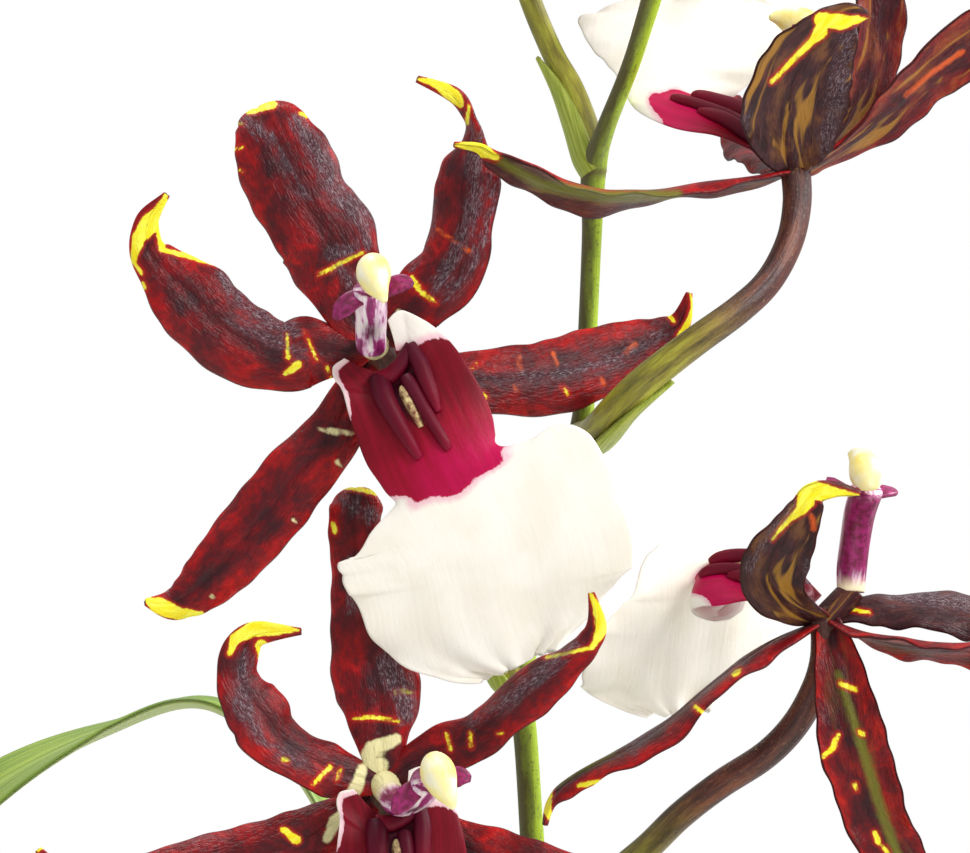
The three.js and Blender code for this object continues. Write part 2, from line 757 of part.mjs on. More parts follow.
// Column rows are [across, forward, up, radius], from the bloom's centre to its tip.
const columnRows = [
  [-0.4, 3.4, 0, 2],
  [-0.4, 7, 0, 2.2],
  [-0.4, 11.2, 1.6, 2.2],
  [-0.3, 15, 4.4, 2.3],
  [-0.4, 18, 8, 2.4],
];
const leftWingRows = [
  [-1.4, 17.6, 7, 1.3],
  [-3, 18.2, 6.4, 1.6],
  [-4.5, 18.6, 5, 1.5],
  [-5.4, 18.8, 3.5, 0.5],
];
const rightWingRows = [
  [1.2, 17.6, 7.6, 1.3],
  [2.9, 18.2, 8.5, 1.5],
  [4.6, 18.8, 8.9, 1.4],
  [5.9, 19.2, 8.6, 0.5],
];
const capRows = [
  [-0.1, 17.8, 10.9, 1],
  [0, 19, 11, 2.2],
  [0.2, 20.6, 10.3, 2.6],
  [0.6, 22.2, 8.8, 2.1],
  [1.3, 23.2, 7.3, 1.2],
  [1.9, 23.6, 6, 0.4],
];

const viewerwards = { forward: [0, -1, 0], up: [0, 0, 1] };
const upLeft = { forward: [-0.45, 0.1, 0.88], up: [0.75, 0.5, 0.3] };
const upRight = { forward: [0.4, 0.1, 0.9], up: [-0.7, 0.6, 0.2] };
const blooms = [
  {
    name: "bloom_1",
    tepals: lowFrontTepals,
    lip: frontLip,
    centre: [15.5, -30, 378],
    size: 0.967,
    turn: viewerwards,
    lipTurn: { forward: [0.1, -0.99, -0.1], up: [0, -0.1, 0.99] },
    columnTurn: { forward: [0.34, -0.88, -0.33], up: [0.1, -0.33, 0.94] },
  },
  {
    name: "bloom_2",
    tepals: lowBackTepals,
    lip: lowBackLip,
    centre: [79.2, -35, 402.1],
    size: 0.961,
    turn: viewerwards,
    lipTurn: viewerwards,
    columnFoot: [82.2, -35, 402.9],
    columnTurn: { forward: [0.05, 0.1, 1], up: [0.15, -0.98, 0.1] },
  },
  {
    name: "bloom_3",
    tepals: frontTepals,
    lip: frontLip,
    centre: [14, -28, 441.8],
    size: 0.969,
    turn: viewerwards,
    lipTurn: { forward: [0, -1, 0], up: [-0.402, 0, 0.916] },
    columnTurn: viewerwards,
  },
  {
    name: "bloom_4",
    tepals: highBackTepals,
    lip: highBackLip,
    centre: [75.6, -20, 467.3],
    size: 0.978,
    turn: viewerwards,
    lipTurn: viewerwards,
    columnTurn: { forward: [-0.38, 0.3, 0.87], up: [0.92, 0, 0.4] },
  },
  {
    name: "bloom_5",
    tepals: frontTepals,
    lip: frontLip,
    centre: [30.5, 20, 528],
    size: 0.94,
    turn: upLeft,
    lipTurn: upLeft,
    columnTurn: upLeft,
  },
  {
    name: "bloom_6",
    tepals: frontTepals,
    lip: frontLip,
    centre: [90.5, 0, 548],
    size: 0.9,
    turn: upRight,
    lipTurn: upRight,
    columnTurn: upRight,
  },
];

// Slow waves along the margins, which fade towards a blade's middle line
const tepalRuffle = (index) => (share, v, half) => {
  const fade = Math.min(1, half / 4) * v * v;
  return 0.55 * fade * Math.sin(2 * Math.PI * 3.2 * share + index * 1.7 + (v > 0 ? 2.1 : 0));
};

function lipRuffle(share, v) {
  const lobe = Math.max(0, (share - 0.45) / 0.55);
  const sides = v ** 4 * Math.sin(26 * share + (v > 0 ? 1.2 : 0));
  const end = share ** 6 * Math.sin(5.5 * v + 0.6);
  return lobe * (1.3 * sides + 1.2 * end);
}

function knobSolid(place, grow = 0) {
  const knob = new THREE.IcosahedronGeometry(knobRadius + grow, 0);
  return solid(knob.translate(...place(0, 0, 0).toArray()));
}

function tepalSolids({ tepals }, place, grow = 0) {
  const blades = tepals.map(({ rows, faces }, index) => {
    const ruffle = tepalRuffle(index);
    const shape = { rows, faces, along: 8, across: 3, thickness: tepalThickness, ruffle, rise: -0.12 };
    return solid(blade(shape, place, grow));
  });
  return fused([knobSolid(place, grow), ...blades]);
}

function columnSolid(place, grow = 0) {
  const hollowed = (angle) => 1 - 0.22 * Math.max(0, Math.cos(angle)) ** 2;
  const rows = columnRows;
  const reference = [0, 0.5, -0.85];
  const body = solid(loft({ rows, along: 5, sides: 9, reference, outline: hollowed }, place, grow));
  const wings = [leftWingRows, rightWingRows].map((wingRows) => {
    const lean = 0.3 * Math.sign(wingRows[0][0]);
    const faces = [[0, 0, 1, 0.6], [1, lean, 1, 0.4]];
    return solid(blade({ rows: wingRows, faces, along: 2, across: 2, thickness: 0.8 }, place, grow));
  });
  return fused([body, ...wings]);
}

function lipSolid(lip, place) {
  const shape = { ...lip, along: 12, across: 6, thickness: lipThickness, ruffle: lipRuffle };
  const ridges = calluses.map((finger) => {
    const rows = finger.map(([share, v, radius]) => {
      const { point, normal } = bladePoint(shape, place, share, v);
      point.addScaledVector(normal, 0.75 * radius);
      return [point.x, point.y, point.z, radius];
    });
    return solid(loft({ rows, along: 2, sides: 4, reference: [0, 1, 0] }));
  });
  return fused([solid(blade(shape, place)), ...ridges]);
}

const pedicelRooms = [];
for (const bloom of blooms) {
  const tepalPlace = placing(bloom.centre, bloom.size, bloom.turn.forward, bloom.turn.up);
  const lipPlace = placing(bloom.centre, bloom.size, bloom.lipTurn.forward, bloom.lipTurn.up);
  const columnFoot = bloom.columnFoot ?? bloom.centre;
  const columnPlace = placing(columnFoot, bloom.size, bloom.columnTurn.forward, bloom.columnTurn.up);
  const tepalRoom = tepalSolids(bloom, tepalPlace, clearance);
  addMesh(`${bloom.name}_tepals`, geometryOf(tepalSolids(bloom, tepalPlace)), tepalRed, 0.35);
  addMesh(`${bloom.name}_lip`, geometryOf(lipSolid(bloom.lip, lipPlace)), lipIvory, 0.6);
  addMesh(`${bloom.name}_column`, geometryOf(columnSolid(columnPlace)), columnMagenta, 0.4);
  const cap = loft({ rows: capRows, along: 5, sides: 7, reference: [1, 0, 0] }, columnPlace);
  addMesh(`${bloom.name}_anther_cap`, cap, capCream, 0.45);
  const pedicel = { rows: pedicelRows[bloom.name], along: 9, sides: 6 };
  const pedicelSolid = solid(loft(pedicel)).subtract(stemRoom).subtract(tepalRoom);
  addMesh(`${bloom.name}_pedicel`, geometryOf(pedicelSolid), pedicelBrown, 0.5);
  pedicelRooms.push(solid(loft(pedicel, inPlace, clearance)));
}

// Buds at the tip of the spike, each one body with its stalk
const budShapes = [
  { foot: [61, -23.5, 538], along: [-0.5, -0.25, 0.83], length: 24, radius: 4.6 },
  { foot: [64.4, -27, 564], along: [0.55, 0.15, 0.82], length: 20, radius: 3.9 },
  { foot: [65.8, -30, 590], along: [-0.2, 0.05, 0.98], length: 17, radius: 3.2 },
];

function budGeometry({ foot, along, length, radius }) {
  const axis = vector(...along).normalize();
  const stalk = length * 0.55;
  const profile = [
    [0, 1.1],
    [stalk * 0.5, 1.1],
    [stalk, 1.4],
    [stalk + length * 0.16, radius * 0.8],
    [stalk + length * 0.42, radius],
    [stalk + length * 0.7, radius * 0.72],
    [stalk + length * 0.9, radius * 0.36],
    [stalk + length, 0.4],
  ];
  const rows = profile.map(([distance, r]) => {
    const point = vector(...foot).addScaledVector(axis, distance + 0.4);
    return [point.x, point.y, point.z + 0.012 * distance * distance, r];
  });
  const seams = (angle, share) => 1 - 0.09 * (share > 0.4 ? Math.cos(3 * angle) ** 6 : 0);
  return loft({ rows, along: 7, sides: 9, outline: seams });
}

budShapes.forEach((shape, index) => {
  const body = solid(budGeometry(shape)).subtract(stemRoom);
  addMesh(`bud_${index + 1}`, geometryOf(body), pedicelBrown, 0.45);
});

const bracts = fused(bractShapes.map(bract)).subtract(fused(pedicelRooms));
addMesh("flower_stem", geometryOf(stemSolid.add(bracts)), stemGreen, 0.5);

// Pseudobulbs: flattened, ridged and leaning slightly apart
const bulbShapes = [
  { foot: [-9, -4, 88], tip: [-11, -6, 166], radius: 15 },
  { foot: [-24, 19, 88], tip: [-29, 22, 158], radius: 14 },
  { foot: [-6, 38, 88], tip: [-8, 44, 152], radius: 13 },
  { foot: [20, 27, 88], tip: [24, 30, 140], radius: 11.5 },
];

function bulbGeometry({ foot, tip, radius }, grow = 0) {
  const swelling = [0.75, 0.95, 1, 0.93, 0.72, 0.42, 0.26];
  const rows = swelling.map((factor, i) => {
    const point = vector(...foot).lerp(vector(...tip), i / (swelling.length - 1));
    return [point.x, point.y, point.z, radius * factor];
  });
  const flattened = (angle) => {
    const ridge = 0.035 * Math.cos(7 * angle);
    return 1 / Math.hypot(Math.cos(angle), Math.sin(angle) / 0.62) + ridge;
  };
  const shape = { rows, along: 6, sides: 14, reference: [1, 0, 0], outline: flattened };
  return loft(shape, inPlace, grow);
}

const bulbRooms = bulbShapes.map((shape) => solid(bulbGeometry(shape, clearance)));
bulbShapes.forEach((shape, index) => {
  addMesh(`pseudobulb_${index + 1}`, bulbGeometry(shape), bulbGreen, 0.45);
});

// Strap leaves, each as rows [x, y, z, half width]
const leafShapes = [
  {
    rows: [
      [-11, 45.5, 148, 4],
      [-10, 48, 205, 9],
      [-3, 52, 262, 11.5],
      [6, 55, 316, 12],
      [9, 57, 352, 12],
      [2.5, 58, 370.5, 12],
      [-7, 59, 381, 12],
      [-17, 60, 385.5, 12],
      [-31, 61, 380.8, 12],
      [-47.4, 61, 372.4, 11],
      [-66, 60, 358, 7.5],
      [-84, 58, 338, 0.8],
    ],
    faces: [[0, 1, 0, 0], [0.35, 1, 0, 0.1], [0.55, 0.4, 0, 1], [0.72, 0, 0, 1], [1, 0, -0.6, 0.8]],
  },
  {
    rows: [
      [-4.5, 42.5, 148, 4],
      [9, 54, 203, 9],
      [26, 80, 254, 12.5],
      [46, 110, 280, 12.5],
      [72, 132, 272, 9],
      [94, 148, 244, 0.8],
    ],
  },
  {
    rows: [
      [-14.5, -6, 163, 4],
      [-26, -12, 220, 9],
      [-54, -22, 270, 12.5],
      [-94, -34, 292, 12.5],
      [-134, -44, 276, 9],
      [-164, -50, 240, 0.8],
    ],
  },
  {
    rows: [
      [-7.5, -7, 163, 4],
      [-2, -12, 215, 8],
      [12, -26, 258, 11.5],
      [42, -46, 292, 12],
      [82, -64, 304, 11.5],
      [118, -78, 288, 8],
      [142, -86, 256, 0.8],
    ],
  },
  {
    rows: [
      [-32, 21, 155, 4],
      [-47, 25, 212, 9],
      [-72, 40, 260, 12.5],
      [-110, 54, 278, 12.5],
      [-146, 64, 260, 9],
      [-168, 70, 224, 0.8],
    ],
  },
  {
    rows: [
      [-25.5, 24.5, 155, 4],
      [-21, 35, 212, 9],
      [-26, 63, 260, 12],
      [-43, 102, 282, 12],
      [-46, 140, 268, 8],
      [-48, 166, 232, 0.8],
    ],
  },
  {
    rows: [
      [-4, -17, 92, 6],
      [0, -27, 136, 9],
      [10, -50, 176, 11],
      [22, -80, 196, 10.5],
      [34, -108, 188, 7],
      [42, -128, 162, 0.8],
    ],
  },
  {
    rows: [
      [-33, -8, 92, 6],
      [-46, -12, 134, 9],
      [-74, -17, 168, 11],
      [-106, -21, 176, 9],
      [-132, -24, 156, 0.8],
    ],
  },
  {
    rows: [
      [26.5, 30.5, 137, 4],
      [38, 33, 188, 8.5],
      [62, 37, 230, 11.5],
      [96, 41, 246, 11],
      [128, 44, 230, 7.5],
      [148, 46, 198, 0.8],
    ],
  },
];

// A leaf's upper side faces the plant where the leaf stands, and the sky where it arches over.
function leafFaces(rows) {
  const [first, last] = [rows[0], rows[rows.length - 1]];
  const heading = vector(last[0] - first[0], last[1] - first[1], 0).normalize();
  return [[0, -heading.x, -heading.y, 0.1], [1, 0, 0, 1]];
}

function leafGeometry({ rows, faces = leafFaces(rows) }, grow = 0) {
  const folded = (share, v, half) => leafFold * half * Math.abs(v) * (1 - 0.5 * share);
  const along = Math.round(1.5 * rows.length);
  const shape = { rows, faces, along, across: 2, thickness: leafThickness, ruffle: folded };
  return blade(shape, inPlace, grow);
}

leafShapes.forEach((shape, index) => {
  const body = solid(leafGeometry(shape)).subtract(fused(bulbRooms));
  addMesh(`leaf_${index + 1}`, geometryOf(body), leafGreen, 0.45);
});

// Roots that creep over the bark and dive into it
const rootShapes = [
  [[2, -15, 96, 1.9], [12, -22, 102, 2], [26, -26, 103, 2], [38, -22, 101, 1.9], [43, -16, 92, 1.7]],
  [[-20, -14, 96, 1.9], [-28, -24, 102, 2], [-30, -36, 103, 1.9], [-22, -45, 100, 1.8], [-14, -48, 91, 1.7]],
];
const rootLoft = (rows, grow = 0) => solid(loft({ rows, along: 8, sides: 6 }, inPlace, grow));
const basalLeaves = [6, 7];
const basalLeafRooms = basalLeaves.map((index) => solid(leafGeometry(leafShapes[index], clearance)));
const rootNeighbours = fused([...bulbRooms, ...basalLeafRooms]);
rootShapes.forEach((rows, index) => {
  addMesh(`root_${index + 1}`, geometryOf(rootLoft(rows).subtract(rootNeighbours)), rootGrey, 0.7);
});

// Pot: a plain tapered wall with a thicker rim band, a floor and drain holes off its centre
const rimInside = potRimRadius - potWall;
const footInside = potFootRadius - potWall;
const potSides = 28;

function innerRadiusAt(height) {
  const share = (height - potFloor) / (potHeight - potFloor);
  return footInside + (rimInside - footInside) * share;
}

function potSolid() {
  const bandFoot = potHeight - potRimBand;
  const bandShare = bandFoot / potHeight;
  const wallAtBand = potFootRadius + (potRimRadius - potRimLip - potFootRadius) * bandShare;
  const profile = [
    [0, 0],
    [potFootRadius - 1.5, 0],
    [potFootRadius, 1.5],
    [wallAtBand, bandFoot],
    [potRimRadius - 0.8, bandFoot + 1.6],
    [potRimRadius, potHeight - 1.2],
    [potRimRadius - 1.2, potHeight],
    [rimInside + 1.2, potHeight],
    [rimInside, potHeight - 1.2],
    [footInside, potFloor],
    [0, potFloor],
  ];
  const points = profile.map(([r, z]) => new THREE.Vector2(r, z));
  const body = solid(new THREE.LatheGeometry(points, potSides).rotateX(Math.PI / 2));
  const holes = [0, 1, 2, 3].map((quarter) => {
    const angle = Math.PI / 4 + (quarter * Math.PI) / 2;
    const drill = new THREE.CylinderGeometry(drainHoleRadius, drainHoleRadius, 3 * potFloor, 16);
    drill.rotateX(Math.PI / 2);
    drill.translate(drainHoleOffset * Math.cos(angle), drainHoleOffset * Math.sin(angle), 0);
    return solid(drill);
  });
  return body.subtract(fused(holes));
}

addMesh("pot", geometryOf(potSolid()), terracotta, 0.85);

// Growing medium: packed bark with loose chips standing out of its surface
function mediumSolid() {
  const foot = potFloor + clearance;
  const profile = [
    [0, foot],
    [innerRadiusAt(foot) - clearance, foot],
    [innerRadiusAt(mediumTop) - clearance, mediumTop],
    [0, mediumTop],
  ];
  const points = profile.map(([r, z]) => new THREE.Vector2(r, z));
  const core = solid(new THREE.LatheGeometry(points, potSides).rotateX(Math.PI / 2));
  const random = randomSource(7);
  const chips = Array.from({ length: barkChips }, (_, index) => {
    const reach = (innerRadiusAt(mediumTop) - 0.62 * barkChipLength) * Math.sqrt((index + 0.5) / barkChips);
    const around = index * goldenAngle;
    const long = barkChipLength * (0.7 + 0.3 * random());
    const chip = new THREE.BoxGeometry(long, long * (0.45 + 0.2 * random()), 5 + 2 * random());
    chip.rotateX(0.5 * (random() - 0.5));
    chip.rotateY(0.5 * (random() - 0.5));
    chip.rotateZ(2 * Math.PI * random());
    chip.translate(reach * Math.cos(around), reach * Math.sin(around), mediumTop + 2 * random() - 0.8);
    return solid(chip);
  });
  const roots = rootShapes.map((rows) => rootLoft(rows, clearance));
  const rooms = fused([...bulbRooms, ...basalLeafRooms, stemRoom, ...roots]);
  return fused([core, ...chips]).subtract(rooms);
}

addMesh("growing_medium", geometryOf(mediumSolid()), bark, 0.9);

export default plant;
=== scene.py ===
"""Potted orchid: a spike of dark red, yellow-tipped blooms with white lips, over strap leaves.

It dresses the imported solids. Rows and sizes are in millimetres and repeat those of the solids;
meshes are made in metres. In blooms, points are [across, forward, up] from the bloom's centre.
A turn is the way forward and the way up, and a share is a part of a length from 0 to 1.
"""

import math

import bpy
import numpy as np
from mathutils import Euler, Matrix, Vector


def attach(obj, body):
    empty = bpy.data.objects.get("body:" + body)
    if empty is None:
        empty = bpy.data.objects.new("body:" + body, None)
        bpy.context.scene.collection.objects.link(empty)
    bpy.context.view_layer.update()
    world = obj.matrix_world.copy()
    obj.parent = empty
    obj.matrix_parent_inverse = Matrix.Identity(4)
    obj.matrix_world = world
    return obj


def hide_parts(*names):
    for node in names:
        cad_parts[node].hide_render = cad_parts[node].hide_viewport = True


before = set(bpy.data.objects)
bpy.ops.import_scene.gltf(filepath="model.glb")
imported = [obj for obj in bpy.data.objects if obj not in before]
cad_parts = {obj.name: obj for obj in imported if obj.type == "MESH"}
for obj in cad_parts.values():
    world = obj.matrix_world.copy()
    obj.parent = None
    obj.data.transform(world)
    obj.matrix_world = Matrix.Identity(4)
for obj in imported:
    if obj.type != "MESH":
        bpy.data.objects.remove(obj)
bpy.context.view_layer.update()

# Shared sizes, in millimetres or as shares
MM = 0.001
CLEARANCE = 0.3
POT_HEIGHT = 112
POT_RIM_RADIUS = 65
POT_FOOT_RADIUS = 46
POT_WALL = 5.5
POT_RIM_BAND = 16
POT_RIM_LIP = 3.5
POT_FLOOR = 7
DRAIN_HOLE_RADIUS = 5
DRAIN_HOLE_OFFSET = 24
MEDIUM_TOP = 97
TEPAL_THICKNESS = 0.8
TEPAL_RISE = -0.12
LIP_THICKNESS = 0.8
LOBE_START = 0.45
WING_THICKNESS = 0.8
CAVITY_SHARE = 0.62
BRACT_THICKNESS = 0.8
LEAF_THICKNESS = 1.2
LEAF_FOLD = 0.32
FLAT_LEAF_FOLD = 0.14
FAR_FROM_MARKS = 9
UNDERSIDE_SHIFT = 40

# Bark chips: least and most of each size, the width as a share of the length
CHIP_COUNT = 120
CHIP_SEED = 11
CHIP_LENGTH = (10, 21)
CHIP_WIDTH = (0.4, 0.7)
CHIP_DEPTH = (3, 6)
CHIP_LIFT = (-1, 2.6)
CHIP_TILT = 0.55
GOLDEN_ANGLE = 2.39996

# Steps along and across, or around, the meshes; the blooms above the picture have fewer
STEPS = {
    "tepal": (96, 28),
    "lip": (150, 72),
    "finger": (24, 16),
    "column": (44, 48),
    "wing": (18, 14),
    "cap": (36, 32),
    "pedicel": (110, 30),
    "heart": (20, 28),
    "stem": (420, 30),
    "bract": (30, 16),
    "bud": (70, 42),
    "leaf": (110, 20),
    "pseudobulb": (70, 84),
    "root": (80, 20),
}
HIDDEN_FINENESS = 0.7
POT_SIDES = 128
DRILL_SIDES = 40
BED_SIDES = 72

# Floor and light, in metres
FLOOR_HALF = 1.6
FLOOR_COLOUR = (0.86, 0.86, 0.85, 1)
LIGHT_AIM = (0.04, 0, 0.42)
SOFT_LIGHT = 0.6
WHITE = (1, 1, 1, 1)

# Camera, at the photograph's viewing angle
PICTURE_WIDTH = 145.5
CAMERA_DISTANCE = 900
CAMERA_AIM = (30, 0, 430)
SENSOR_WIDTH = 36

TO_VIEWER = [[0, -1, 0], [0, 0, 1]]

